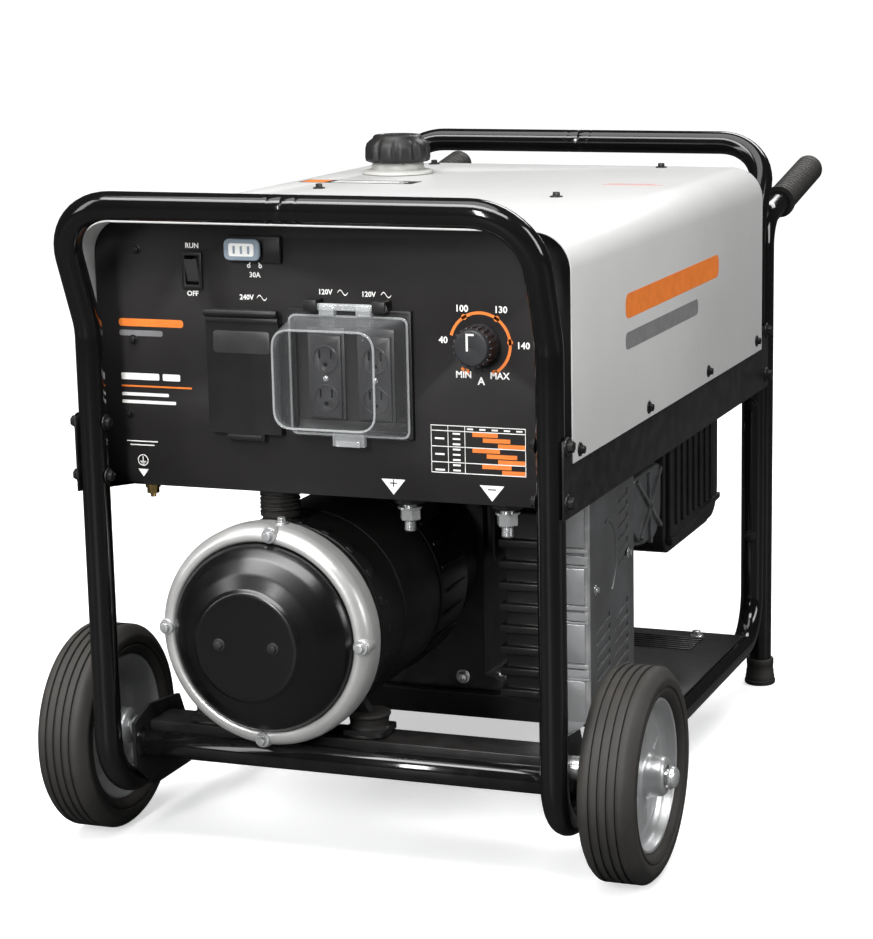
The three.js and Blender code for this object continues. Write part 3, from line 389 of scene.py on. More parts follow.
# A flat outline pushed along an axis. Outline pairs are (y, z), (x, z) or (x, y) for x, y and z.
def pushed(bm, outline, axis, low, high, place=at):
    def spot(a, b, h):
        return place(*{"x": (h, a, b), "y": (a, h, b), "z": (a, b, h)}[axis])
    first = [bm.verts.new(spot(a, b, low)) for a, b in outline]
    last = [bm.verts.new(spot(a, b, high)) for a, b in outline]
    bm.faces.new(first)
    bm.faces.new(last)
    count = len(outline)
    for k in range(count):
        n = (k + 1) % count
        bm.faces.new((first[k], last[k], last[n], first[n]))


# The middle line of a bent tube: straight lengths with round bends.
def bentLine(corners, radii, steps=12):
    line = [Vector(corners[0])]
    for k in range(1, len(corners) - 1):
        here = Vector(corners[k])
        back = (Vector(corners[k - 1]) - here).normalized()
        ahead = (Vector(corners[k + 1]) - here).normalized()
        half = back.angle(ahead) / 2
        radius = radii[k - 1]
        centre = here + (back + ahead).normalized() * (radius / math.sin(half))
        start = here + back * (radius / math.tan(half)) - centre
        end = here + ahead * (radius / math.tan(half)) - centre
        sweep = start.angle(end)
        for s in range(steps + 1):
            t = s / steps
            line.append(centre + start * (math.sin((1 - t) * sweep) / math.sin(sweep))
                        + end * (math.sin(t * sweep) / math.sin(sweep)))
    line.append(Vector(corners[-1]))
    return line


# A tube along a line of points in millimetres; widths may change its radius along the way.
def sweptTube(bm, line, radius, sides=28, widths=None):
    points = [at(*p) for p in line]
    heading = (points[1] - points[0]).normalized()
    across = heading.orthogonal().normalized()
    rings = []
    for k, point in enumerate(points):
        into = (point - points[k - 1]).normalized() if k else heading
        out = (points[k + 1] - point).normalized() if k + 1 < len(points) else into
        heading = (into + out).normalized()
        across = (across - heading * across.dot(heading)).normalized()
        side = heading.cross(across)
        r = (widths[k] if widths else radius) * mm / max(into.dot(heading), 0.5)
        rings.append([bm.verts.new(point + (across * math.cos(a) + side * math.sin(a)) * r)
                      for a in (2 * math.pi * j / sides for j in range(sides))])
    for a, b in zip(rings, rings[1:]):
        for j in range(sides):
            n = (j + 1) % sides
            bm.faces.new((a[j], b[j], b[n], a[n]))
    bm.faces.new(rings[0])
    bm.faces.new(rings[-1])


# Turns a piece's modifiers into plain mesh.
def settle(obj):
    graph = bpy.context.evaluated_depsgraph_get()
    made = bpy.data.meshes.new_from_object(obj.evaluated_get(graph))
    obj.modifiers.clear()
    obj.data = made
    return obj


def newObject(name, mesh):
    obj = bpy.data.objects.new(name, mesh)
    bpy.context.collection.objects.link(obj)
    return obj


# Gives a finished mesh its shading, finish, body, slot and the parts it stands for.
def place(obj, finish, body="frame", hides=(), sharp=32):
    mesh = obj.data
    mesh.materials.clear()
    mesh.materials.append(finishes[finish])
    mesh.polygons.foreach_set("material_index", [0] * len(mesh.polygons))
    mesh.polygons.foreach_set("use_smooth", [True] * len(mesh.polygons))
    mesh.set_sharp_from_angle(angle=math.radians(sharp))
    mesh.update()
    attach(obj, body)
    if hides:
        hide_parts(*hides)
    return obj


def piece(name, bm, finish, body="frame", hides=(), bevel=0.0, segments=2, sharp=32, limit=30,
          holes=None):
    bmesh.ops.remove_doubles(bm, verts=bm.verts, dist=1e-6)
    bmesh.ops.recalc_face_normals(bm, faces=bm.faces)
    mesh = bpy.data.meshes.new(name)
    bm.to_mesh(mesh)
    bm.free()
    obj = newObject(name, mesh)
    cutter = None
    if holes:
        cutMesh = bpy.data.meshes.new(name + "Holes")
        bmesh.ops.recalc_face_normals(holes, faces=holes.faces)
        holes.to_mesh(cutMesh)
        holes.free()
        cutter = newObject(name + "Holes", cutMesh)
        opening = obj.modifiers.new("openings", "BOOLEAN")
        opening.operation, opening.solver, opening.object = "DIFFERENCE", "EXACT", cutter
    if bevel:
        edge = obj.modifiers.new("edges", "BEVEL")
        edge.width, edge.segments, edge.limit_method = bevel * mm, segments, "ANGLE"
        edge.angle_limit = math.radians(limit)
    if holes or bevel:
        settle(obj)
    if cutter:
        bpy.data.objects.remove(cutter)
    return place(obj, finish, body, hides, sharp)


# A part kept in its own shape, with its edges softened.
def softened(node, name, finish, bevel=0.6, segments=2):
    source = frame["nodes"][node]
    bm = bmesh.new()
    bm.from_mesh(source.data)
    bm.transform(source.matrix_world)
    bmesh.ops.remove_doubles(bm, verts=bm.verts, dist=2e-6)
    bmesh.ops.dissolve_limit(bm, angle_limit=math.radians(1.2), verts=bm.verts, edges=bm.edges)
    return piece(name, bm, finish, bodyOf[node], (node,), bevel, segments)


bodyOf = {node: body for body,
          nodes in frame["record"]["behaviour"]["bodies"].items() for node in nodes}


# Repeats: geometry node trees.

# Hexagon heads with washers on points that carry the way each one faces.
headTaper, washerTaper = 0.86, 0.94


def makeBoltTree():
    tree, i, o = newGroup("boltHeads", [
        ("Points", "Geometry", None), ("Head Radius", "Float", 0.005),
        ("Head Height", "Float", 0.004),
        ("Washer Radius", "Float", 0.007), ("Washer Height", "Float", 0.001),
        ("Head Sides", "Int", 6),
        ("Finish", "Material", None)], [("Geometry", "Geometry")], "GeometryNodeTree")
    head = add(tree, "GeometryNodeMeshCone", {
        "Vertices": i["Head Sides"],
        "Radius Top": sums(tree, "MULTIPLY", i["Head Radius"], headTaper),
        "Radius Bottom": i["Head Radius"], "Depth": i["Head Height"]}).outputs["Mesh"]
    lift = add(tree, "ShaderNodeCombineXYZ", {"Z": i["Washer Height"]}).outputs[0]
    raised = add(tree, "GeometryNodeTransform", {"Geometry": head, "Translation": lift}).outputs[0]
    washer = add(tree, "GeometryNodeMeshCone", {
        "Vertices": 20, "Radius Top": sums(tree, "MULTIPLY", i["Washer Radius"], washerTaper),
        "Radius Bottom": i["Washer Radius"], "Depth": i["Washer Height"]}).outputs["Mesh"]
    both = add(tree, "GeometryNodeJoinGeometry")
    for shape in (raised, washer):
        tree.links.new(shape, both.inputs[0])
    facing = add(tree, "GeometryNodeInputNamedAttribute", {"Name": "facing"},
                 data_type="FLOAT_VECTOR").outputs[0]
    turn = add(tree, "FunctionNodeAlignRotationToVector", {"Vector": facing}, axis="Z").outputs[0]
    dots = add(tree, "GeometryNodeMeshToPoints", {"Mesh": i["Points"]}).outputs[0]
    spread = add(tree, "GeometryNodeInstanceOnPoints",
                 {"Points": dots, "Instance": both.outputs[0], "Rotation": turn})
    solid = add(tree, "GeometryNodeRealizeInstances", {"Geometry": spread.outputs[0]}).outputs[0]
    done = add(tree, "GeometryNodeSetMaterial", {"Geometry": solid, "Material": i["Finish"]})
    tree.links.new(done.outputs[0], o["Geometry"])
    return tree


# Bars in a straight row.
def makeRowTree():
    tree, i, o = newGroup("barRow", [
        ("Count", "Int", 5), ("Start", "Vector", (0, 0, 0)), ("Step", "Vector", (0.01, 0, 0)),
        ("Bar Size", "Vector", (0.01, 0.01, 0.01)), ("Lean", "Vector", (0, 0, 0)),
        ("Finish", "Material", None)],
        [("Geometry", "Geometry")], "GeometryNodeTree")
    row = add(tree, "GeometryNodeMeshLine",
              {"Count": i["Count"], "Start Location": i["Start"], "Offset": i["Step"]})
    bar = add(tree, "GeometryNodeMeshCube", {"Size": i["Bar Size"]}).outputs["Mesh"]
    lean = add(tree, "FunctionNodeEulerToRotation", {0: i["Lean"]}).outputs[0]
    spread = add(tree, "GeometryNodeInstanceOnPoints", {
        "Points": row.outputs[0], "Instance": bar, "Rotation": lean})
    solid = add(tree, "GeometryNodeRealizeInstances", {"Geometry": spread.outputs[0]}).outputs[0]
    done = add(tree, "GeometryNodeSetMaterial", {"Geometry": solid, "Material": i["Finish"]})
    tree.links.new(done.outputs[0], o["Geometry"])
    return tree


# Bars in a ring about an axis.
def makeRingTree():
    tree, i, o = newGroup("barRing", [
        ("Count", "Int", 12), ("Radius", "Float", 0.05), ("Bar Size", "Vector", (0.01, 0.01, 0.01)),
        ("Lean", "Float", 0.0), ("Centre", "Vector", (0, 0, 0)), ("Turn", "Vector", (0, 0, 0)),
        ("Finish", "Material", None)], [("Geometry", "Geometry")], "GeometryNodeTree")
    ring = add(tree, "GeometryNodeMeshCircle",
               {"Vertices": i["Count"], "Radius": i["Radius"]}).outputs[0]
    bar = add(tree, "GeometryNodeMeshCube", {"Size": i["Bar Size"]}).outputs["Mesh"]
    outward = add(tree, "GeometryNodeInputPosition").outputs[0]
    turn = add(tree, "FunctionNodeAlignRotationToVector", {"Vector": outward}, axis="X").outputs[0]
    lean = add(tree, "FunctionNodeEulerToRotation", {
        0: add(tree, "ShaderNodeCombineXYZ", {"Z": i["Lean"]}).outputs[0]}).outputs[0]
    both = add(tree, "FunctionNodeRotateRotation", {0: turn, 1: lean},
               rotation_space="LOCAL").outputs[0]
    dots = add(tree, "GeometryNodeMeshToPoints", {"Mesh": ring}).outputs[0]
    spread = add(tree, "GeometryNodeInstanceOnPoints",
                 {"Points": dots, "Instance": bar, "Rotation": both})
    solid = add(tree, "GeometryNodeRealizeInstances", {"Geometry": spread.outputs[0]}).outputs[0]
    moved = add(tree, "GeometryNodeTransform", {
        "Geometry": solid, "Translation": i["Centre"], "Rotation": i["Turn"]}).outputs[0]
    done = add(tree, "GeometryNodeSetMaterial", {"Geometry": moved, "Material": i["Finish"]})
    tree.links.new(done.outputs[0], o["Geometry"])
    return tree


boltTree, rowTree, ringTree = makeBoltTree(), makeRowTree(), makeRingTree()


# Runs a repeat tree on a mesh and keeps the result as a plain piece.
def repeated(name, tree, values, finish, body="frame", hides=(), mesh=None, bevel=0.0, sharp=32):
    obj = newObject(name, mesh or bpy.data.meshes.new(name))
    nodes = obj.modifiers.new("repeat", "NODES")
    nodes.node_group = tree
    ids = {item.name: item.identifier for item in tree.interface.items_tree
           if item.in_out == "INPUT"}
    for key, value in {**values, "Finish": finishes[finish]}.items():
        nodes[ids[key]] = value
    if bevel:
        edge = obj.modifiers.new("edges", "BEVEL")
        edge.width, edge.segments, edge.limit_method = bevel * mm, 2, "ANGLE"
    settle(obj)
    return place(obj, finish, body, hides, sharp)


# Bolt or screw heads at (place, facing) pairs, all on one body.
def bolts(name, places, finish="satinBlack", head=5.0, height=4.0, washer=7.0, washerHeight=1.2,
          body="frame", sides=6):
    mesh = bpy.data.meshes.new(name)
    mesh.from_pydata([tuple(p) for p, _ in places], [], [])
    facing = mesh.attributes.new("facing", "FLOAT_VECTOR", "POINT")
    facing.data.foreach_set("vector", [c for _, way in places for c in way])
    return repeated(name, boltTree, {
        "Head Radius": head * mm, "Head Height": height * mm, "Washer Radius": washer * mm,
        "Washer Height": washerHeight * mm, "Head Sides": sides}, finish, body, mesh=mesh,
        bevel=0.25)


def vec(x, y, z):
    return (x * mm, y * mm, z * mm)


# Bars from a first middle, each a step further on; sizes in millimetres.
def bars(name, first, step, size, count, finish, body="frame", lean=(0, 0, 0), bevel=0.4):
    return repeated(name, rowTree, {
        "Count": count, "Start": tuple(at(*first)), "Step": vec(*step), "Bar Size": vec(*size),
        "Lean": lean}, finish, body, bevel=bevel)


axisTurn = {"x": (0, math.pi / 2, 0), "y": (math.pi / 2, 0, 0), "z": (0, 0, 0)}


def ringOfBars(name, centre, axis, radius, size, count, finish, body="frame", lean=0.0, bevel=0.4,
               turn=None):
    return repeated(name, ringTree, {
        "Count": count, "Radius": radius * mm, "Bar Size": vec(*size), "Lean": lean,
        "Centre": tuple(centre), "Turn": turn or axisTurn[axis]}, finish, body, bevel=bevel)


# Thin raised lettering or numbers on a surface that faces -Y.
def lettering(name, words, x, z, size, y, finish="inkWhite", body="frame", thick=0.12):
    curve = bpy.data.curves.new(name, "FONT")
    curve.body, curve.size, curve.extrude = words, size * mm, thick * mm
    curve.offset = size * mm * 0.022
    curve.align_x, curve.align_y, curve.resolution_u = "CENTER", "CENTER", 2
    obj = newObject(name + "Line", curve)
    graph = bpy.context.evaluated_depsgraph_get()
    mesh = bpy.data.meshes.new_from_object(obj.evaluated_get(graph))
    bpy.data.objects.remove(obj)
    mesh.transform(Matrix.Translation(at(x, y - thick * 0.5, z)) @ Matrix.Rotation(math.pi / 2, 4,
            "X"))
    return place(newObject(name, mesh), finish, body)


def oblong(x0, x1, z0, z1, radius=0.0, steps=4):
    corners = [(x0, z0), (x1, z0), (x1, z1), (x0, z1)]
    return eased(corners, radius, steps) if radius else corners


print("helpers ready")

# Camera, light and floor.
studio = {"lens": 97.28, "shift": (-0.0996, 0.0378), "azimuth": 19.19, "elevation": 12.19,
          "roll": -0.74,
          "eye": (1019.4, -2278.8, 930.5), "sky": 0.13, "glossSky": 0.035, "sun": 1.8,
          "sunSpread": 50.0,
          "floorTone": (0.8, 0.8, 0.81), "floorBounce": (0.24, 0.24, 0.24),
          "floorGloss": (0.03, 0.03, 0.03), "floorGlow": 0.55}
softboxes = {  # place, what it points at, width and height, power
    "overheadSoftbox": ((0.0, -1.5, 2.6), (0, -0.2, 0.3), (3.2, 0.75), 78),
    "frontSoftbox": ((-0.1, -3.5, 1.7), (-0.1, -0.3, 0.35), (0.4, 1.5), 88),
    "leftSoftbox": ((-2.4, -2.2, 1.6), (0, 0, 0.35), (0.6, 2.2), 22),
    "rightSoftbox": ((2.9, -0.25, 1.6), (0, 0, 0.35), (0.8, 2.0), 44),
    "rearSoftbox": ((0.5, 2.7, 2.7), (0, 0.4, 0.4), (2.2, 1.0), 48)}


def makeCamera():
    data = bpy.data.cameras.new("viewer")
    data.sensor_width, data.lens = 36.0, studio["lens"]
    data.shift_x, data.shift_y = studio["shift"]
    data.clip_start, data.clip_end = 0.05, 60
    camera = newObject("viewer", data)
    az, el, roll = (math.radians(studio[k]) for k in ("azimuth", "elevation", "roll"))
    ahead = Vector((-math.sin(az) * math.cos(el), math.cos(az) * math.cos(el), -math.sin(el)))
    level = Vector((math.cos(az), math.sin(az), 0))
    upright = level.cross(ahead)
    right = level * math.cos(roll) + upright * math.sin(roll)
    top = upright * math.cos(roll) - level * math.sin(roll)
    turn = Matrix((right, top, -ahead)).transposed().to_4x4()
    camera.matrix_world = Matrix.Translation(at(*studio["eye"])) @ turn
    bpy.context.scene.camera = camera


def makeLight(name, spot, target, size, power):
    data = bpy.data.lights.new(name, "AREA")
    data.shape, data.size, data.size_y = "RECTANGLE", size[0], size[1]
    data.energy = power
    lamp = newObject(name, data)
    turn = (Vector(target) - Vector(spot)).to_track_quat("-Z", "Y").to_matrix().to_4x4()
    lamp.matrix_world = Matrix.Translation(spot) @ turn


def makeStudio():
    scene = bpy.context.scene
    scene.view_settings.view_transform = "Standard"
    world = bpy.data.worlds.new("paleRoom")
    scene.world = world
    world.use_nodes = True
    tree = world.node_tree
    ray = add(tree, "ShaderNodeLightPath").outputs
    fill = add(tree, "ShaderNodeMapRange",
               {"Value": ray["Is Diffuse Ray"], "To Min": studio["glossSky"],
                                            "To Max": studio["sky"]}).outputs[0]
    strength = sums(tree, "MAXIMUM", ray["Is Camera Ray"], fill)
    tree.nodes["Background"].inputs["Color"].default_value = (1, 1, 1, 1)
    tree.links.new(strength, tree.nodes["Background"].inputs["Strength"])
    sun = bpy.data.lights.new("overheadSun", "SUN")
    sun.energy, sun.angle = studio["sun"], math.radians(studio["sunSpread"])
    overhead = newObject("overheadSun", sun)
    overhead.rotation_euler = (math.radians(8), math.radians(-6), 0)
    for name, values in softboxes.items():
        makeLight(name, *values)
    bm = bmesh.new()
    half, low = 14.0, cadLow.z - 0.0004
    corners = [(-half, -half), (half, -half), (half, half), (-half, half)]
    bm.faces.new([bm.verts.new((x, y, low)) for x, y in corners])
    mesh = bpy.data.meshes.new("studioFloor")
    bm.to_mesh(mesh)
    bm.free()
    floor = newObject("studioFloor", mesh)
    makeFinish("floorPaint", studio["floorTone"], studio["floorTone"], 0.6, 0.05, dust=0.0,
               patch=1.0,
               fine=(40, 0.1), coarse=(8, 0.1), strength=0.02)
    mesh.materials.append(finishes["floorPaint"])
    # Seen straight on, the floor is lit a little from within, so that the shadow stays light.
    tree = finishes["floorPaint"].node_tree
    shader = tree.nodes["Principled BSDF"]
    ray = add(tree, "ShaderNodeLightPath").outputs
    seen = ray["Is Camera Ray"]
    bounce = mixed(tree, ray["Is Diffuse Ray"], rgba(studio["floorGloss"]),
                   rgba(studio["floorBounce"]))
    tree.links.new(mixed(tree, seen, bounce, rgba(studio["floorTone"])),
                   shader.inputs["Base Color"])
    shader.inputs["Emission Color"].default_value = (1, 1, 1, 1)
    glow = add(tree, "ShaderNodeMath", {0: seen, 1: studio["floorGlow"]},
               operation="MULTIPLY").outputs[0]
    tree.links.new(glow, shader.inputs["Emission Strength"])


makeCamera()
makeStudio()
print("studio ready")

# Tube frame.
tubing = {"radius": 14.3, "legX": 248.0, "length": 800.0, "barZ": 697.0, "railZ": 70.4,
          "frontLean": 54.0,
          "rearLean": 66.0, "kinkZ": 568.0, "rearKinkZ": 600.0, "bend": 60.0,
          "trayBoltZ": (469, 413),
          "swage": [(0.15, 14.1), (0.7, 14.3), (13.0, 14.3), (14.0, 14.12), (15.4, 14.12),
                    (16.4, 14.3)]}


def makeFrameTube(side, word):
    t = tubing
    x, back = side * t["legX"], t["length"]
    corners = [(side * 20, -t["frontLean"], t["barZ"]), (x, -t["frontLean"], t["barZ"]),
               (x, 0, t["kinkZ"]),
               (x, 0, t["railZ"]), (x, back, t["railZ"]), (x, back, t["rearKinkZ"]),
               (x, back + t["rearLean"], t["barZ"]), (side * 20, back + t["rearLean"], t["barZ"])]
    line = bentLine(corners, [t["bend"]] * 6)
    front = [(side * dx, -t["frontLean"], t["barZ"]) for dx, _ in t["swage"]]
    rear = [(side * dx, back + t["rearLean"], t["barZ"]) for dx, _ in reversed(t["swage"])]
    widths = [w for _, w in t["swage"]] + [t["radius"]] * len(line) + [w for _,
            w in reversed(t["swage"])]
    bm = bmesh.new()
    sweptTube(bm, front + line + rear, t["radius"], widths=widths)
    piece(f"frameTube{word}", bm, "glossBlack", hides=(f"frame_loop_{word.lower()}",), sharp=50)


def makeCrossbar():
    low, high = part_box("front_crossbar")
    half, r = (high.x - low.x) / 2 / mm, tubing["radius"]
    bm = bmesh.new()
    profile = [(0, -half), (r - 0.6, -half), (r, -half + 0.6), (r, half - 0.6), (r - 0.6, half),
               (0, half)]
    lathe(bm, profile, middleOf("front_crossbar"), "x", 36)
    for side in (-1, 1):
        bead = eased([(r - 0.5, side * half), (r + 3.2, side * half),
                      (r - 0.5, side * (half - 4.5))], 1.4)
        lathe(bm, bead, middleOf("front_crossbar"), "x", 36)
    piece("frontCrossbar", bm, "glossBlack", hides=("front_crossbar",), sharp=50)


lifting = {"y": 834.0, "x": 251.0, "bendZ": 604.0, "rise": 0.17, "reach": 262.0,
           "gripLength": 180.0,
           "gripR": 18.5, "boltZ": (206, 376), "spacerR": 7.0}


def makeHandle(side, word):
    h = lifting
    x, r = side * h["x"], tubing["radius"]
    run = math.hypot(1, h["rise"])
    along = Vector((0, 1 / run, h["rise"] / run))
    end = Vector((x, h["y"] + h["reach"], h["bendZ"] + h["reach"] * h["rise"])) - along * 6
    bm = bmesh.new()
    line = bentLine([(x, h["y"], 8), (x, h["y"], h["bendZ"]), tuple(end)], [40])
    sweptTube(bm, line, r)
    for z in h["boltZ"]:
        lathe(bm, [(0, 0), (h["spacerR"], 0), (h["spacerR"], 20), (0, 20)],
              at(x - side * 1.5, tubing["length"] + r - 2, z), "y", 24)
    piece(f"handleTube{word}", bm, "glossBlack", hides=(f"handle_tube_{word.lower()}",), sharp=50)
    bm = bmesh.new()
    length, g, bore = h["gripLength"], h["gripR"], r + 0.3
    profile = [(bore, 0), (g + 2, 0), (g + 2, 5), (g, 8)]
    for k in range(15):
        low = 12 + k * 10
        profile += [(g, low), (g - 0.9, low + 1), (g - 0.9, low + 2.4), (g, low + 3.4)]
    profile += [(g, length - 8), (g - 2, length - 3), (g - 7, length), (0, length), (0, length - 5),
                (bore, length - 5)]
    start = end + along * (5.3 - length)
    u = Vector((1, 0, 0))
    lathe(bm, profile, at(*start), (u, along.cross(u), along), 40)
    piece(f"rubberGrip{word}", bm, "rubberBlack", hides=(f"grip_{word.lower()}",), sharp=40)
    bm = bmesh.new()
    shoe = [(0, 0), (18.5, 0), (20, 1.5), (20, 5), (19, 6), (18.8, 11), (18.1, 12), (17.9, 18),
            (17.3, 19),
            (17.1, 25), (17.6, 26.5), (17.6, 32.5), (16.6, 34), (14.6, 34), (14.6, 7.7), (0, 7.7)]
    lathe(bm, shoe, at(x, h["y"], 0), "z", 40)
    piece(f"foot{word}", bm, "rubberBlack", hides=(f"foot_{word.lower()}",), sharp=40)


for side, word in ((-1, "Left"), (1, "Right")):
    makeFrameTube(side, word)
    makeHandle(side, word)
makeCrossbar()
for node, name in (("axle_bracket_left", "axleBracketLeft"),
                   ("axle_bracket_right", "axleBracketRight"),
                   ("alternator_crossmember", "alternatorCrossmember"), ("base_tray", "baseTray"),
                   ("engine_base_plate", "engineBasePlate")):
    softened(node, name, "satinBlack", 0.7)
trayOut, legInner = 264.7, 233.6
trayPlaces = [(s, y, z) for s in (-1, 1) for y in (0, tubing["length"])
              for z in tubing["trayBoltZ"]]
bolts("legBolts", [(at(s * trayOut, y, z), (s, 0, 0)) for s, y, z in trayPlaces], "satinBlack", 6.6,
      5.5, 9.5, 1.8)
bolts("legNuts", [(at(s * legInner, y, z), (-s, 0, 0)) for s, y, z in trayPlaces], "satinBlack",
      6.0, 4.4, 8.5, 1.4)
spacerFront = tubing["length"] - tubing["radius"]
bolts("handleBolts",
      [(at(s * 249.5, spacerFront - 0.2, z), (0, -1, 0)) for s in (-1, 1) for z in lifting["boltZ"]]
      + [(at(s * 251, lifting["y"] + tubing["radius"] - 0.4, z), (0, 1, 0)) for s in (-1, 1)
         for z in lifting["boltZ"]],
      "satinBlack", 5.6, 4.6, 8.0, 1.4)
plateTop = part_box("engine_base_plate")[1].z / mm
bolts("plateBolts", [(at(s * 196, y, plateTop - 0.2), (0, 0, 1)) for s in (-1, 1)
                     for y in (418, 722)],
      "zincBright", 6.2, 5.2, 9.0, 1.6)
bars("plateTreads", (160, 655, plateTop + 0.5), (0, 9, 0), (96, 4.2, 1.6), 7, "satinBlack")
bolts("bracketBolts", [(at(s * 208, 113, 110.2), (0, 0, 1)) for s in (-1, 1)],
      "satinBlack", 5.2, 4.2, 7.5, 1.2)
print("tube frame done")

# Wheels.
wheels = {"radius": 112.0, "half": 30.0, "axleY": 97.5, "axleZ": 112.0,
          "grooves": (-13.75, -4.6, 4.6, 13.75),
          "grooveDepth": 2.6, "grooveHalf": 1.5}


def makeWheel(side, word):
    w = wheels
    hub = middleOf(f"tire_{word.lower()}")
    body = f"wheel_{word.lower()}"
    r, half = w["radius"], w["half"]
    outer = [(80.3, half - 8), (83.5, half - 3.5), (86.5, half - 1.6), (89, half - 1.2),
             (90, half - 2.6), (91.5, half - 2.6),
             (92.5, half - 0.8), (98, half), (101.5, half - 0.6), (102.5, half - 1.6),
             (106, half - 3.2), (109.5, half - 6.5), (111.4, half - 9)]
    tread = [(r, half - 11)]
    for middle in reversed(w["grooves"]):
        top, low, deep = middle + w["grooveHalf"], middle - w["grooveHalf"], r - w["grooveDepth"]
        tread += [(r, top + 0.3), (deep, top - 0.3), (deep, low + 0.3), (r, low - 0.3)]
    tread.append((r, 11 - half))
    profile = outer + tread + [(radius, -h) for radius, h in reversed(outer)]
    bm = bmesh.new()
    lathe(bm, [(radius, side * h) for radius, h in profile], hub, "x", 112)
    piece(f"tyre{word}", bm, "tyreRubber", body, (f"tire_{word.lower()}",), sharp=38)
    rim = [(8.4, -half), (17, -half), (20, -half + 3), (20, half - 22), (30, half - 22.5),
           (56, half - 25.5),
           (64, half - 31), (70, half - 40), (75, -half + 12), (77, -half + 8), (80, -half + 8),
           (80, half - 8),
           (78.6, half - 7.2), (76.6, half - 7.6), (75.6, half - 10), (73.6, half - 17),
           (69, half - 22.5), (62, half - 23.4),
           (59.5, half - 20), (54, half - 18), (38, half - 18.4), (30, half - 16.8),
           (24, half - 15.6), (21.6, half - 10),
           (20.4, half + 1), (17.5, half + 4.6), (11.5, half + 5), (10.6, half + 2),
           (8.4, half + 2)]
    bm = bmesh.new()
    lathe(bm, eased([(radius, side * h) for radius, h in rim], 1.6, 2), hub, "x", 96)
    piece(f"rim{word}", bm, "rimSilver", body, (f"rim_{word.lower()}",), sharp=42)
    ringOfBars(f"rimStamping{word}", hub + Vector((side * (half - 18.3) * mm, 0, 0)), "x", 43,
               (19, 6.5, 2.6), 6,
               "rimSilver", body, bevel=1.1)
    bm = bmesh.new()
    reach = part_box(f"axle_{word.lower()}")
    axleR, web = 7.8, 229.5
    tip = max(abs(reach[0].x), abs(reach[1].x)) / mm
    stub = [(0, web), (axleR, web), (axleR, 233.7), (13, 233.7), (13, 267), (11.5, 269),
            (axleR, 269), (axleR, tip - 9.5),
            (axleR - 1.2, tip - 8), (0, tip - 8)]
    lathe(bm, [(radius, side * h) for radius, h in stub], at(0, w["axleY"], w["axleZ"]), "x", 40)
    cap = [(0, tip - 8.2), (12.5, tip - 8.2), (13, tip - 7), (11.5, tip - 6.2), (11, tip - 3),
           (8, tip - 0.4), (0, tip)]
    lathe(bm, [(radius, side * h) for radius, h in cap], at(0, w["axleY"], w["axleZ"]), "x", 40)
    piece(f"axle{word}", bm, "zincBright", hides=(f"axle_{word.lower()}",), sharp=40)


for side, word in ((-1, "Left"), (1, "Right")):
    makeWheel(side, word)
print("wheels done")

# Sheet cover and panels.
cover = {"half": 266.4, "top": 674.4, "bottom": 449.5, "corner": 38.0, "sheet": 1.5, "front": 14.0,
         "rear": 769.0,
         "neck": (-150.0, 608.0), "neckHole": 36.0}


def archLine(half, top, bottom, radius, steps=14):
    line = [(half, bottom)]
    for k in range(steps + 1):
        a = math.pi / 2 * k / steps
        line.append((half - radius + radius * math.cos(a), top - radius + radius * math.sin(a)))
    return line + [(-x, z) for x, z in reversed(line)]


def makeCover():
    c = cover
    outer = archLine(c["half"], c["top"], c["bottom"], c["corner"])
    inner = archLine(c["half"] - c["sheet"], c["top"] - c["sheet"], c["bottom"],
                     c["corner"] - c["sheet"])
    bm, hole = bmesh.new(), bmesh.new()
    pushed(bm, outer + inner[::-1], "y", c["front"], c["rear"])
    low, high = c["top"] - 6, c["top"] + 6
    lathe(hole, [(0, low), (c["neckHole"], low), (c["neckHole"], high), (0, high)],
          at(*c["neck"], 0), "z", 72)
    piece("topCover", bm, "paleCoat", hides=("top_cover",), bevel=0.45, sharp=28, holes=hole)
    top = c["top"] - 0.1
    bolts("coverTopScrews",
          [(at(x, y, top), (0, 0, 1)) for x,
           y in ((-163, 398), (139, 351), (-157, 748), (143, 748))],
          "satinBlack", 4.6, 4.2, 7.2, 1.4)
    sides = [(at(s * (c["half"] - 0.1), y, z), (s, 0, 0)) for s in (-1, 1)
             for y, z in ((35, 460), (273, 461), (515, 462), (742, 464))]
    bolts("coverSideScrews", sides, "satinBlack", 4.6, 4.2, 7.2, 1.4)


makeCover()
softened("front_panel", "frontPanel", "panelInk", 0.4)
softened("rear_panel", "rearPanel", "panelInk", 0.4)
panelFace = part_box("front_panel")[0].y
panelY = (panelFace - frontLegY) / mm
bolts("panelScrews",
      [(at(x, panelY, z), (0, -1, 0)) for x,
       z in ((-216, 642), (-224, 548), (216, 642), (232, 470), (-232, 470))],
      "satinBlack", 3.6, 2.8, 5.4, 0.8)
rearY = (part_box("rear_panel")[1].y - frontLegY) / mm
bolts("rearPanelScrews",
      [(at(x, rearY, z), (0, 1, 0)) for x in (-225, 225) for z in (640, 540, 425)],
      "satinBlack", 3.6, 2.8, 5.4, 0.8)
bars("rearLouvres", (0, rearY + 1.2, 500), (0, 0, 14), (240, 5, 6), 8, "panelInk", lean=(0.5, 0, 0),
     bevel=0.9)
print("cover and panels done")

# Filler cap and neck.
filler = {"centre": (-150.0, 608.0), "lobes": 10, "lobeDepth": 3.6, "capFloor": 683.0,
          "collarTop": 689.0}


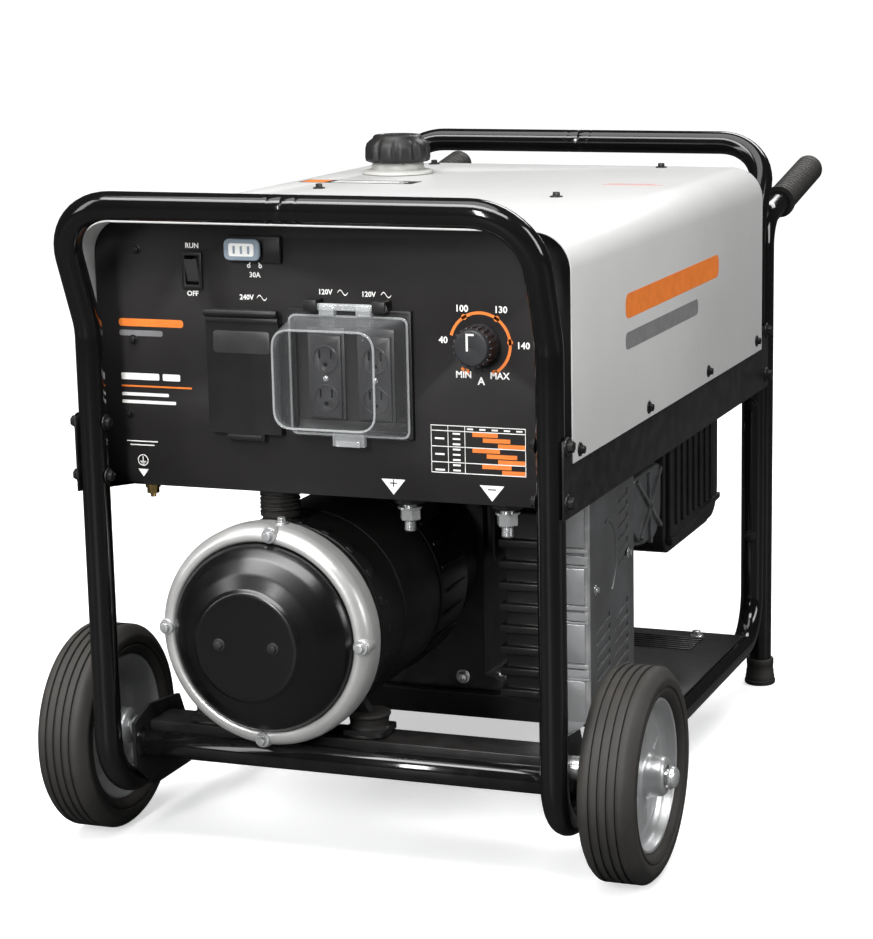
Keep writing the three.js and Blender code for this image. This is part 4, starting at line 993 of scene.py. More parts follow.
def makeFiller():
    f = filler
    x, y = f["centre"]
    bm = bmesh.new()
    profile = eased([(27.4, 672), (35, 672), (35, 674.8), (44, 674.8), (42, 678.6), (33, 680.4),
                     (27.4, 680.4)], 1.6, 3)
    lathe(bm, profile, at(x, y, 0), "z", 72)
    piece("fillerGrommet", bm, "neckPlastic", hides=("tank_grommet",), sharp=40)
    bm = bmesh.new()
    collar = eased([(27.3, 676), (32, 680.2), (32, f["collarTop"] - 4), (30, f["collarTop"]),
                    (27.3, f["collarTop"])], 1.2, 3)
    lathe(bm, collar, at(x, y, 0), "z", 60)
    piece("fillerCollar", bm, "neckPlastic", sharp=40)
    # The cap's skirt swells into broad finger lobes that fade out towards the crown.
    bm = bmesh.new()
    sides, centre = 120, at(x, y, 0)
    outline = [(23, 683, 0), (23, 692.3, 0), (27.3, 692.3, 0), (34, 690.5, 0), (36.5, 689.2, 0.4),
               (39.0, 690.6, 1),
               (39.8, 694, 1), (39.4, 706, 1), (37.6, 711.5, 0.8), (33.5, 715.2, 0.35),
               (30.5, 717.2, 0.1),
               (29.6, 719.6, 0), (27.6, 721.4, 0), (22, 722, 0), (21, 720.9, 0), (0, 720.6, 0)]
    rings = []
    for radius, z, lobe in outline:
        if radius == 0:
            rings.append([bm.verts.new(centre + Vector((0, 0, z * mm)))])
            continue
        ring = []
        for k in range(sides):
            a = 2 * math.pi * k / sides
            dip = max(0.0, math.cos(a * f["lobes"])) ** 2.2 * f["lobeDepth"] * lobe
            ring.append(bm.verts.new(centre
                                     + Vector((math.cos(a), math.sin(a), 0)) * (radius - dip) * mm
                                     + Vector((0, 0, z * mm))))
        rings.append(ring)
    floor = bm.verts.new(centre + Vector((0, 0, f["capFloor"] * mm)))
    for k in range(sides):
        n = (k + 1) % sides
        bm.faces.new((floor, rings[0][n], rings[0][k]))
        for a, b in zip(rings, rings[1:]):
            if len(b) == 1:
                bm.faces.new((a[k], a[n], b[0]))
            else:
                bm.faces.new((a[k], a[n], b[n], b[k]))
    piece("fillerCap", bm, "mouldedBlack", "fuel_cap", ("fuel_cap",), sharp=48)
    ringOfBars("capCrownTicks", at(x, y, 721.0), "z", 14, (7, 1.6, 1.4), 10, "mouldedBlack",
               "fuel_cap", bevel=0.3)


makeFiller()
softened("fuel_tank", "fuelTank", "mouldedBlack", 2.0)
print("filler done")

# Labels without words, numbers and marks.
panelMarks = {"letters": 7.4, "digits": 9.4}


def arcBand(cx, cz, inner, outer, start, end, steps=36):
    angles = [math.radians(start + (end - start) * k / steps) for k in range(steps + 1)]
    return ([(cx + outer * math.sin(a), cz + outer * math.cos(a)) for a in angles]
            + [(cx + inner * math.sin(a), cz + inner * math.cos(a)) for a in reversed(angles)])


def manyMarks(name, outlines, y, finish, thick=0.15, body="frame"):
    bm = bmesh.new()
    for outline in outlines:
        pushed(bm, outline, "y", y - thick, y + 0.05)
    return piece(name, bm, finish, body)


def makePanelMarks():
    y = panelY
    small, digits = panelMarks["letters"], panelMarks["digits"]
    for name, words, x, z, size in (
            ("wordRun", "RUN", -152.5, 647, small), ("wordOff", "OFF", -153.5, 598, small),
            ("rating30", "30A", -83, 619, small), ("volts240", "240V", -93, 596, small),
            ("volts120Left", "120V", -6, 604, small), ("volts120Right", "120V", 41, 603, small),
            ("dial40", "40", 120, 560, digits), ("dial100", "100", 140, 592, digits),
            ("dial130", "130", 181, 592, digits), ("dial140", "140", 204, 557, digits),
            ("dialMin", "MIN", 141, 526, digits), ("dialMax", "MAX", 179, 526, digits),
            ("dialAmps", "A", 159.5, 520, 11)):
        lettering(name, words, x, z, size, y)
    waves = []
    for cx, cz in ((-76, 596), (13, 604), (60, 603)):
        upper = [(cx + 11 * (t / 12 - 0.5), cz + 2.6 * math.sin(2 * math.pi * t / 12) + 0.55)
                 for t in range(13)]
        waves.append(upper + [(x, z - 1.1) for x, z in reversed(upper)])
    manyMarks("waveMarks", waves, y, "inkWhite")
    manyMarks("breakerMark",
              [arcBand(-83, 628, 5.4, 6.6, -72, 72), arcBand(-89.4, 628, 0.9, 2.0, 0, 359, 16),
                              arcBand(-76.6, 628, 0.9, 2.0, 0, 359, 16)], y, "inkWhite")
    # The dial's scale: a band that swells at each number.
    x, z = knobPlace
    dots = [arcBand(x + 31.5 * math.sin(math.radians(a)), z + 31.5 * math.cos(math.radians(a)), 0.3,
                    3.0, 0, 359, 16)
            for a in (-152, -32, 34, 84, 152)]
    manyMarks("dialScale",
              [arcBand(x, z, 30, 33, -152, -140, 6), arcBand(x, z, 30, 33, -75, 152)] + dots, y,
              "inkOrange")
    # The plain accent beside the sockets: two bars and a rule, with short bars for the small print.
    manyMarks("accentOrange", [oblong(-240, -166, 562, 570, 4), oblong(-240, -159, 498.4, 500.2)],
              y, "inkOrange")
    manyMarks("accentGrey", [oblong(-240, -190, 552, 558, 3)], y, "inkGrey")
    manyMarks("accentWhite", [oblong(-240, -196, 506, 513, 1.5), oblong(-192, -172, 506, 513, 1.5),
                              oblong(-240, -186, 489, 492.4, 1), oblong(-240, -178, 481, 484.4, 1)],
                              y, "inkWhite")
    # Earth mark, and the triangles that point down to the studs.
    earth = [arcBand(-219, 421, 5.2, 6.1, 0, 359.5), oblong(-219.4, -218.6, 420, 425),
             oblong(-222.4, -215.6, 419.2, 420),
             oblong(-221.2, -216.8, 417.6, 418.3), oblong(-220, -218, 416.1, 416.8),
             [(-225, 411.5), (-213, 411.5), (-219, 403.5)],
             oblong(-237, -201, 440.5, 441.6), oblong(-233, -205, 436.6, 437.7)]
    manyMarks("earthMark", earth, y, "inkWhite")
    signs = []
    for cx, cz in ((63, 416), (169, 415)):
        signs.append([(cx - 13, cz), (cx + 13, cz), (cx, cz - 16)])
    manyMarks("studTriangles", signs, y, "inkWhite", 0.12)
    manyMarks("studSigns",
              [oblong(59.2, 66.8, 411.3, 412.5), oblong(62.4, 63.6, 408, 415.6),
               oblong(164.6, 173.4, 410.3, 411.5)],
              y - 0.12, "panelInk", 0.1)


def makeChart():
    y = panelY
    left, right, low, high, rows = 105.0, 205.0, 426.0, 474.0, 9
    step = (high - low) / rows
    columns = [105, 123, 141, 154, 167, 180, 193, 205]
    lines = [oblong(left - 0.4, right + 0.4, z - 0.4, z + 0.4)
             for z in (low, high, high - step, high - 4 * step, high - 7 * step)]
    lines += [oblong(x - 0.3, x + 0.3, low, high) for x in columns[:3] + [205]]
    manyMarks("chartLines", lines, y, "inkWhite", 0.12)
    cells = []
    spans = [(149, 176), (160, 189), (176, 205), (149, 178), (164, 196), (176, 205), (159, 190),
             (180, 205)]
    for k, (a, b) in enumerate(spans):
        top = high - (k + 1) * step - 0.5
        cells.append(oblong(a, b, top - step + 1.0, top))
    manyMarks("chartBars", cells, y, "inkOrange", 0.1)
    dashes = []
    for k in range(1, rows):
        z = high - (k + 0.5) * step
        dashes.append(oblong(128, 136, z - 0.9, z + 0.9))
        if k in (2, 5, 8):
            dashes.append(oblong(109, 119, z - 0.9, z + 0.9))
    dashes += [oblong(x + 2.5, x + 9, high - step * 0.5 - 0.8, high - step * 0.5 + 0.8)
               for x in columns[2:-1]]
    manyMarks("chartDashes", dashes, y, "inkWhite", 0.1)


def sideMark(name, outline, finish, side=1):
    bm = bmesh.new()
    x = cover["half"]
    pushed(bm, outline, "x", side * (x - 0.05), side * (x + 0.15))
    return piece(name, bm, finish)


def makeCoverMarks():
    for side, word in ((1, "Right"), (-1, "Left")):
        sideMark(f"sideAccentOrange{word}", oblong(190, 560, 566, 592, 13, 6), "inkOrange", side)
        sideMark(f"sideAccentGrey{word}", oblong(190, 470, 534, 552, 9, 6), "inkGrey", side)
    top = cover["top"]
    bm = bmesh.new()
    pushed(bm, oblong(-222, -78, 470, 506, 3), "z", top - 0.05, top + 0.12)
    piece("topLabel", bm, "panelInk")
    bm = bmesh.new()
    pushed(bm, oblong(-219, -190, 473, 503, 2), "z", top, top + 0.2)
    piece("topLabelOrange", bm, "inkOrange")
    bm = bmesh.new()
    for k in range(4):
        pushed(bm, oblong(-182, -90 - 9 * (k % 2), 476 + 6.6 * k, 479 + 6.6 * k), "z", top,
               top + 0.2)
    piece("topLabelBars", bm, "inkWhite")
    bm = bmesh.new()
    for k in range(2):
        pushed(bm, oblong(142 + 5 * k, 214 - 12 * k, 508 + 9 * k, 511 + 9 * k), "z", top - 0.05,
               top + 0.1)
    piece("topNoteBars", bm, "inkRed")


knobPlace = tuple((c / mm) for c in (middleOf("amperage_knob").x, middleOf("potentiometer").z))
makePanelMarks()
makeChart()
makeCoverMarks()
print("marks done")

# Switch, breaker and knob.
softened("run_switch_bezel", "switchBezel", "mouldedBlack", 0.9, 3)
softened("run_rocker", "switchRocker", "devicePlastic", 0.8, 3)
softened("breaker_bezel", "breakerBezel", "mouldedBlack", 1.4, 3)
softened("potentiometer", "dialShaft", "zincBright", 0.3)


def makeBreaker():
    z = middleOf("breaker_button").z / mm
    bm = bmesh.new()
    pushed(bm, oblong(-110, -70, z - 11, z + 11, 7, 5), "y", panelY - 15.5, panelY - 11.2)
    piece("breakerBoot", bm, "windowPlastic", "breaker_button", ("breaker_button",), bevel=1.9,
          segments=4)
    bm = bmesh.new()
    lathe(bm, [(0, -11.4), (5.9, -11.4), (5.9, 9), (0, 9)], at(-94, panelY, z), "y", 32)
    piece("breakerStem", bm, "devicePlastic", "breaker_button")
    bm = bmesh.new()
    pushed(bm, oblong(-104, -76, z - 6.6, z + 6.6, 3, 4), "y", panelY - 16.1, panelY - 15.0)
    piece("breakerWindow", bm, "inkWhite", "breaker_button", bevel=0.4)
    bm = bmesh.new()
    for k in range(3):
        pushed(bm, oblong(-99 + 8 * k, -96.6 + 8 * k, z - 4, z + 4, 1), "y", panelY - 16.5,
               panelY - 15.6)
    piece("breakerLines", bm, "windowPlastic", "breaker_button")


def makeKnob():
    x, z = knobPlace
    face = panelY - 0.3
    bm = bmesh.new()
    profile = eased([(0, -27), (17, -27), (19, -24), (19.4, -10), (21, -3), (21, -1), (3.6, -1),
                     (3.6, -21), (0, -21)], 1.2, 4)
    lathe(bm, profile, at(x, face, z), "y", 96)
    piece("dialKnob", bm, "knobSlate", "amperage_knob", ("amperage_knob",), sharp=40)
    ringOfBars("dialKnobFlutes", at(x, face - 14.5, z), "y", 19.2, (3.0, 2.6, 19), 20, "knobSlate",
               "amperage_knob", bevel=0.9)
    bm = bmesh.new()
    hook = [(-9, -3), (-6.8, -3), (-6.8, 12.4), (-0.5, 12.4), (-0.5, 14.4), (-9, 14.4)]
    pushed(bm, [(x + 4 + a, z + b) for a, b in hook], "y", face - 27.3, face - 26.8)
    piece("dialPointer", bm, "inkWhite", "amperage_knob")


makeBreaker()
makeKnob()
print("switch, breaker and knob done")

# Outlets and their lids.
softened("receptacle_240", "socket240", "devicePlastic", 0.5)
softened("receptacle_120_left", "socket120Left", "devicePlastic", 0.5)
softened("receptacle_120_right", "socket120Right", "devicePlastic", 0.5)
softened("outlet_base", "outletBase", "mouldedBlack", 0.8)
softened("outlet_lid", "outletLid", "mouldedBlack", 1.3, 3)
lids = {"left": -135.0, "right": -54.0, "front": 39.0}


def makeLidDetail():
    face = lids["front"]
    bm = bmesh.new()
    pushed(bm, oblong(-127, -64, 540, 563, 5, 5), "y", face - 0.5, face + 0.3)
    piece("lidLabelPad", bm, "devicePlastic", "outlet_lid", bevel=0.3)
    bm = bmesh.new()
    pushed(bm, oblong(lids["left"], lids["right"], 571.5, 576.5), "y", face - 1.8, face + 0.4)
    pushed(bm, oblong(-114, -76, 451, 456, 2), "y", face - 1.2, face + 3.6)
    piece("lidLip", bm, "mouldedBlack", "outlet_lid", bevel=0.8)
    sockets = []
    for node in ("receptacle_120_left", "receptacle_120_right"):
        x = middleOf(node).x / mm
        for z in (537, 497):
            sockets.append(arcBand(x, z, 12.8, 14.2, 0, 359.5))
    bm = bmesh.new()
    front = (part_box("receptacle_120_left")[0].y - frontLegY) / mm
    for outline in sockets:
        pushed(bm, outline, "y", front - 0.9, front + 0.1)
    piece("socketRims", bm, "devicePlastic", bevel=0.2)
    bolts("socketScrews", [(at(x, front, 517), (0, -1, 0)) for x in (-5.5, 48.5)], "zincBright",
          2.4, 1.4, 3.0, 0.4, sides=12)


# A thin raised line that follows a rounded outline.
def rimBead(bm, corners, width, radius, front, back):
    (x0, z0), (x1, z1) = corners[0], corners[2]
    within = [(x0 + width, z0 + width), (x1 - width, z0 + width), (x1 - width, z1 - width),
              (x0 + width, z1 - width)]
    outer, inner = eased(corners, radius, 8), eased(within, radius - width, 8)
    rings = [[bm.verts.new(at(x, y, z)) for x, z in line]
             for line, y in ((outer, front), (inner, front), (inner, back), (outer, back))]
    for a, b in zip(rings, rings[1:] + rings[:1]):
        for k in range(len(a)):
            n = (k + 1) % len(a)
            bm.faces.new((a[k], a[n], b[n], b[k]))


# The see-through lid: a rounded dome with a flange, hinge ears and a latch.
def makeClearLid():
    left, right, low, high = -45.0, 88.0, 458.0, 588.0
    front, back = panelY - 62, panelY - 5.9
    drawn = {"left": 1.5, "right": 14.0, "top": 6.0, "bottom": 12.0}
    layers = [(back, 0, 0, 8), (back - 3, 0, 0, 8), (back - 3.4, 0, 2.2, 11),
              (back - 10, 0.1, 2.4, 14),
              (front + 9, 1, 2.4, 19), (front + 4, 1, 3.4, 20), (front + 1.2, 1, 5.8, 20),
              (front, 1, 9.5, 18)]
    bm = bmesh.new()
    rings = []
    for y, lean, inset, radius in layers:
        x0, x1 = left + inset + lean * drawn["left"], right - inset - lean * drawn["right"]
        z0, z1 = low + inset + lean * drawn["bottom"], high - 4 - inset - lean * drawn["top"]
        shape = eased([(x0, z0), (x1, z0), (x1, z1), (x0, z1)], radius, 8)
        rings.append([bm.verts.new(at(x, y, z)) for x, z in shape])
    for a, b in zip(rings, rings[1:]):
        for k in range(len(a)):
            n = (k + 1) % len(a)
            bm.faces.new((a[k], a[n], b[n], b[k]))
    face = rings[-1]
    centre = bm.verts.new(sum((v.co for v in face), Vector()) / len(face))
    for k in range(len(face)):
        bm.faces.new((face[k], face[(k + 1) % len(face)], centre))
    mesh = bpy.data.meshes.new("clearLid")
    bmesh.ops.recalc_face_normals(bm, faces=bm.faces)
    if sum((f.normal.y for f in bm.faces)) > 0:
        bmesh.ops.reverse_faces(bm, faces=bm.faces)
    bm.to_mesh(mesh)
    bm.free()
    shell = newObject("clearLid", mesh)
    wall = shell.modifiers.new("wall", "SOLIDIFY")
    wall.thickness, wall.offset = 2.2 * mm, -1
    settle(shell)
    place(shell, "clearCover", "outlet_cover", ("outlet_cover",), 30)
    bm = bmesh.new()
    z, y = 591, panelY - 12.5
    lathe(bm, eased([(0, -43), (3.6, -43), (3.6, 43), (0, 43)], 0.6, 2, False), at(21.5, y, z), "x",
          24)
    for a, b in ((-28, -12), (12, 28)):
        pushed(bm, eased([(y - 4, 582.5), (y + 4, 582.5), (y + 4, 592), (y, 595), (y - 4, 592)],
                         1.2), "x", 21.5 + a, 21.5 + b)
    piece("clearLidHinge", bm, "clearPaintedHighlight", "outlet_cover", bevel=0.4)
    bm = bmesh.new()
    pushed(bm, [(back - 10, 449.8), (back - 3, 449.8), (back - 3, 461), (back - 10, 463)], "x", 4,
           39)
    pushed(bm, [(back - 12, 449.8), (back - 9.8, 449.8), (back - 9.8, 456), (back - 12, 456)], "x",
           8, 35)
    piece("clearLidLatch", bm, "clearPaintedHighlight", "outlet_cover", bevel=0.9)
    flange = [(left + 1.5, low + 1.5), (right - 1.5, low + 1.5), (right - 1.5, high - 5.5),
              (left + 1.5, high - 5.5)]
    x0, x1 = left + 3.6 + drawn["left"], right - 3.6 - drawn["right"]
    z0, z1 = low + 3.6 + drawn["bottom"], high - 7.6 - drawn["top"]
    # Pale beads round the flange and the front face: painted highlight lines along the lid's edges.
    bm = bmesh.new()
    rimBead(bm, flange, 2.3, 9, back - 4.6, back - 3.1)
    rimBead(bm, [(x0, z0), (x1, z0), (x1, z1), (x0, z1)], 2.0, 20, front + 1.2, front + 3.2)
    piece("clearLidHighlightBead", bm, "clearPaintedHighlight", "outlet_cover", bevel=0.3)


makeLidDetail()
makeClearLid()
print("outlets done")

# Studs and earth terminal.
def makeStud(node, name, x):
    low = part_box(node)[0].z / mm
    bm = bmesh.new()
    thread = [(0, low), (4.9, low)]
    z = low + 1
    while z < low + 13:
        thread += [(6.3, z + 0.4), (5.4, z + 1.2)]
        z += 1.6
    thread += [(5.4, z), (0, z)]
    lathe(bm, thread, at(x, 86, 0), "z", 28)
    for profile, sides in (([(0, 367), (10.2, 367), (11, 367.8), (11, 378.4), (10.2, 379),
                             (0, 379)], 6),
                           ([(0, 379), (12.5, 379), (12.5, 381), (0, 381)], 36),
                           ([(0, 381), (7.5, 381), (7.5, 385), (0, 385)], 24),
                           ([(0, 399), (11, 399), (11, 408), (6.3, 408), (6.3, 421), (0, 421)],
                            24)):
        lathe(bm, profile, at(x, 86, 0), "z", sides)
    piece(name, bm, "zincBright", hides=(node,), sharp=30)
    bm = bmesh.new()
    lathe(bm, eased([(6.4, 385.1), (16, 385.1), (16, 396.6), (6.4, 396.6)], 1.2), at(x, 86, 0), "z",
          48)
    piece(name + "Insulator", bm, "mouldedBlack", sharp=40)


makeStud("weld_stud_positive", "studPositive", 66)
makeStud("weld_stud_negative", "studNegative", 172)
softened("ground_terminal", "earthTerminal", "brass", 0.5)
softened("conduit", "conduitHose", "rubberBlack", 0.5)
conduitPlace = (-79, 84)
bm = bmesh.new()
ridge = []
z = 366.0
while z < 391:
    ridge += [(18.4, z), (19.4, z + 0.7), (21.2, z + 1.3), (21.2, z + 2.6), (19.4, z + 3.2)]
    z += 4.6
lathe(bm, [(15.5, 364)] + ridge + [(18.4, z), (15.5, z)], at(*conduitPlace, 0), "z", 56)
piece("conduitRidges", bm, "rubberBlack", sharp=40)
print("studs done")

# Alternator.
alternator = {"x": -73.0, "ringFront": 18.0, "ringBack": 58.0, "front": -24.0, "boltR": 109.5,
              "boltAngles": (84, 178, -1, 268), "footReach": 89.0}
alternatorZ = middleOf("stator").z / mm
shaftMiddle = at(alternator["x"], 0, alternatorZ)


def aroundShaft(radius, degrees, y):
    a = math.radians(degrees)
    return at(alternator["x"] + radius * math.cos(a), y, alternatorZ + radius * math.sin(a))


def makeAlternator():
    a = alternator
    front, back = a["ringFront"], a["ringBack"]
    ring = [(12.4, front + 14), (26, front + 14), (30, front + 24), (86.5, front + 20),
            (94.5, front + 6),
            (100.9, front + 3.4), (101.4, front - 0.6), (104, front - 2.2), (108, front - 2.2),
            (112.5, front + 0.4),
            (116, front + 5), (118, front + 12), (118, back - 8), (115, back - 5), (111, back - 1),
            (111, back),
            (104, back), (98, back - 8), (34, back - 10), (30, back + 4), (12.4, back + 4)]
    bm = bmesh.new()
    lathe(bm, eased(ring, 2.4, 3), shaftMiddle, "y", 128)
    for degrees in a["boltAngles"]:
        lug = eased([(0, front - 2.4), (8.2, front - 2.4), (9.4, front + 2), (9.6, front + 16),
                     (0, front + 17)], 1.4, 3, False)
        lathe(bm, lug, aroundShaft(a["boltR"], degrees, 0), "y", 32)
    piece("endBell", bm, "castAluminium", hides=("end_bell",), sharp=38)
    dome = [(0, -24), (53, -24), (56.5, -23.2), (58.5, -20.8), (60, -19.2), (74, -11), (88, 0),
            (96, 8.5), (99.6, 14.6),
            (100.4, 19), (100.4, 21.4), (97.6, 21.4), (94.4, 18), (88.4, 14), (56, -18.6),
            (0, -18.8)]
    bm = bmesh.new()
    lathe(bm, eased(dome, 2.2, 4, False), shaftMiddle, "y", 128)
    piece("endCover", bm, "coverBlack", hides=("end_cover",), sharp=50)
    bolts("endCoverScrews",
          [(at(a["x"] + dx, a["front"] + 0.1, alternatorZ + 1), (0, -1, 0)) for dx in (-30, 30)],
          "darkCasting", 4.6, 2.6, 6.8, 0.9)
    bolts("ringBolts", [(aroundShaft(a["boltR"], degrees, front - 2.3), (0, -1, 0))
                        for degrees in a["boltAngles"]],
          "zincBright", 5.4, 5.0, 8.2, 1.6)
    bolts("ringTopBolt", [(at(a["x"] + 14, 42, alternatorZ + 116.6), (0, 0, 1))], "zincBright", 5.0,
          5.0, 7.4, 1.4)
    barrel = [(104, 58.4), (110.4, 58.4), (111, 59.2), (111, 66), (109.4, 67), (109.4, 74),
              (111, 75), (111, 96), (109.8, 97),
              (109.8, 138), (111, 139), (111, 236), (109.6, 237), (109.6, 243), (111, 244),
              (111, 322), (109, 329), (104, 330),
              (24, 330), (24, 322), (103, 318), (104, 316)]
    bm = bmesh.new()
    lathe(bm, barrel, shaftMiddle, "y", 112)
    low = (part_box("alternator_barrel")[0].z) / mm
    for side in (-1, 1):
        cx = a["x"] + side * a["footReach"]
        pushed(bm, oblong(cx - 23, cx + 23, 60, 104, 5), "z", low, low + 5.7)
        lean = [(a["x"] + side * 66, alternatorZ - 74), (a["x"] + side * 82, alternatorZ - 72),
                (cx + side * 12, low + 5), (cx - side * 16, low + 5)]
        pushed(bm, lean if side > 0 else lean[::-1], "y", 76, 88)
    piece("alternatorBarrel", bm, "satinBlack", hides=("alternator_barrel",), sharp=35)
    ringOfBars("barrelVents", shaftMiddle + Vector((0, 85.5 * mm, 0)), "y", 110.4, (2.6, 9.5, 15),
               22, "satinBlack", bevel=0.9)
    ringOfBars("barrelRearRibs", shaftMiddle + Vector((0, 284 * mm, 0)), "y", 110.6, (3.0, 4.2, 62),
               26, "satinBlack", bevel=0.9)
    for node, name in (("alternator_mount_left", "mountLeft"),
                       ("alternator_mount_right", "mountRight")):
        lowest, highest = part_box(node)
        z0, z1 = lowest.z / mm, highest.z / mm
        bm = bmesh.new()
        puck = [(0, z0), (23, z0), (23, z0 + 3), (21.4, z0 + 4.5), (20.2, z0 + 12),
                (21.4, z1 - 4.5), (23, z1 - 3), (23, z1), (0, z1)]
        lathe(bm, eased(puck, 1.2, 3, False), Vector((middleOf(node).x, middleOf(node).y, 0)), "z",
              48)
        piece(name, bm, "rubberBlack", hides=(node,), sharp=40)
    bolts("mountBolts", [(at(a["x"] + s * (a["footReach"] + 14), 82, low + 5.7), (0, 0, 1))
                         for s in (-1, 1)],
          "zincBright", 4.6, 4.2, 7, 1.2)


makeAlternator()
softened("stator", "statorWinding", "copperWire", 0.8)
softened("rotor", "rotorCore", "darkCasting", 0.6)
softened("flywheel", "flywheelDisc", "castAluminium", 0.8)
ringOfBars("flywheelFins", shaftMiddle + Vector((0, 600 * mm, 0)), "y", 80, (28, 3, 12), 18,
           "castAluminium", "rotor_set",
           lean=0.35, bevel=0.8)
print("alternator done")

# Engine.
softened("crankcase", "crankcase", "darkCasting", 2.2, 3)
softened("blower_housing", "blowerHousing", "satinBlack", 2.4, 3)
softened("carburettor", "carburettor", "castAluminium", 3.0, 3)
softened("muffler", "mufflerBody", "satinBlack", 2.4, 3)
softened("choke_lever", "chokeLever", "mouldedBlack", 1.0, 3)
softened("starter_handle", "starterHandle", "mouldedBlack", 3.0, 4)
bolts("caseBolts", [(aroundShaft(84, degrees, 333.2), (0, -1, 0))
                    for degrees in range(20, 380, 45)], "zincBright", 4.6, 4.0, 7, 1.2)
bolts("engineFootBolts",
      [(at(alternator["x"] + s * 108, y, plateTop + 12.2), (0, 0, 1)) for s in (-1, 1)
       for y in (430, 542)],
      "zincBright", 6.0, 5.0, 9.0, 1.6)
rocker = {"inner": 160.3, "outer": 210.0}


# The valve cover: a tapered casting with a dished face, crossed ribs and four bolts.
def makeRockerCover():
    z = alternatorZ
    flange = [(400, z + 112), (400, z + 40), (430, z + 12), (506, z + 2), (540, z + 30),
              (540, z + 112)]
    centre = Vector((470, z + 60))

    def drawn(points, amount):
        return [tuple(Vector(p) + (centre - Vector(p)).normalized() * amount) for p in points]

    bm = bmesh.new()
    x0, x1 = rocker["inner"], rocker["outer"]
    pushed(bm, eased(flange, 14, 5), "x", x0, x0 + 9)
    pushed(bm, eased(drawn(flange, 9), 16, 5), "x", x0 + 8, x1 - 12)
    pushed(bm, eased(drawn(flange, 15), 16, 5), "x", x1 - 14, x1 - 4)
    piece("valveCover", bm, "greyCasting", hides=("rocker_cover",), bevel=2.6, segments=3)
    bm = bmesh.new()
    for (y0, za), (y1, zb) in (((425, z + 98), (520, z + 28)), ((520, z + 98), (440, z + 28)),
                               ((470, z + 100), (478, z + 16))):
        way = Vector((y1 - y0, zb - za)).normalized()
        off = Vector((-way.y, way.x)) * 2.6
        a, b = Vector((y0, za)), Vector((y1, zb))
        pushed(bm, [tuple(p) for p in (a + off, b + off, b - off, a - off)], "x", x1 - 6, x1)
    piece("valveCoverRibs", bm, "greyCasting", bevel=1.2)
    bolts("valveCoverBolts",
          [(at(x0 + 9, y, zz), (1, 0, 0)) for y,
           zz in ((408, z + 104), (532, z + 104), (410, z + 44), (530, z + 38))],
          "zincBright", 4.8, 5.0, 7.2, 1.2)


makeRockerCover()


# The muffler's guard: a folded sheet with a bright banded front and a louvred side.
def makeGuard():
    low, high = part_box("muffler_guard")
    x0, x1 = low.x / mm, high.x / mm
    z0, z1 = low.z / mm, high.z / mm
    y0 = (low.y - frontLegY) / mm
    y1 = (high.y - frontLegY) / mm
    outer = [(y0, z0), (y1, z0), (y1, z1), (y0, z1)]
    inner = [(y0 + 2, z0 + 2), (y1 - 2, z0 + 2), (y1 - 2, z1 - 2), (y0 + 2, z1 - 2)]
    bm, holes = bmesh.new(), bmesh.new()
    pushed(bm, outer, "x", x0, x1)
    pushed(holes, inner, "x", x0 - 5, x1 - 2)
    for k in range(6):
        for a, b in ((y0 + 24, y0 + 74), (y0 + 92, y0 + 142)):
            z = z0 + 24 + k * 14
            pushed(holes, [(a, z), (b, z + 7), (b, z + 14), (a, z + 7)], "x", x1 - 6, x1 + 2)
        z = z0 + 152 + k * 14
        pushed(holes, [(y1 - 58, z), (y1 - 22, z + 5), (y1 - 22, z + 12), (y1 - 58, z + 7)], "x",
               x1 - 6, x1 + 2)
    piece("mufflerGuard", bm, "guardGrey", hides=("muffler_guard",), bevel=1.2, segments=3,
          holes=holes)
    # The bright front: flat lengths, with a pair of rolled beads at each band.
    bm = bmesh.new()
    bands = [(313, 290), (250, 228), (185, 165)]
    edges = [z1 - 1] + [z for band in bands for z in band] + [z0 + 1]
    for top, base in zip(edges[0::2], edges[1::2]):
        pushed(bm, oblong(x0 + 1.5, x1 - 1.5, base, top, 1.5, 2), "y", y0 - 2.2, y0 + 0.2)
    piece("guardFront", bm, "guardSilver", bevel=0.9, segments=3)
    bm = bmesh.new()
    for top, base in bands:
        middle = (top + base) / 2
        for z, half in ((top - 3.6, 2.2), (middle - 2.2, 4.6), (base + 1.9, 1.3)):
            pushed(bm, oblong(x0 + 1.5, x1 - 0.5, z - half, z + half, 1.2, 3), "y", y0 - 3.6,
                   y0 + 0.2)
    piece("guardBands", bm, "guardSilver", bevel=1.1, segments=3)
    bm = bmesh.new()
    lathe(bm, [(0, z0 + 1), (3.4, z0 + 1), (3.4, z1 - 1), (0, z1 - 1)], at(x1 - 3.2, y0 + 0.4, 0),
          "z", 20)
    piece("guardEdge", bm, "guardSilver", sharp=40)
    bm = bmesh.new()
    swage = [(y0 + 62 + 34 * math.sin(math.radians(a)), z0 + 168 + 44 * math.cos(math.radians(a)))
             for a in range(-10, 151, 10)]
    sweptTube(bm, [(x1 - 0.6, y, z) for y, z in swage], 1.9, 10)
    piece("guardSwage", bm, "guardGrey", sharp=50)
    bolts("guardScrews",
          [(at(x1 - 0.1, y0 + y, z), (1, 0, 0)) for y,
           z in ((20, 262), (142, 276), (22, 128), (146, 128), (20, 378))],
          "zincBright", 4.0, 3.2, 6.2, 1.0)
    # The rolled foot under the guard's front corner.
    bm = bmesh.new()
    pushed(bm, [(x0 + 4, z0 + 2), (x1 - 4, z0 + 2), (x1 - 18, z0 - 14), (x0 + 22, z0 - 14)], "y",
           y0 - 1.6, y0 + 0.6)
    piece("guardToe", bm, "guardSilver", bevel=0.6)


makeGuard()


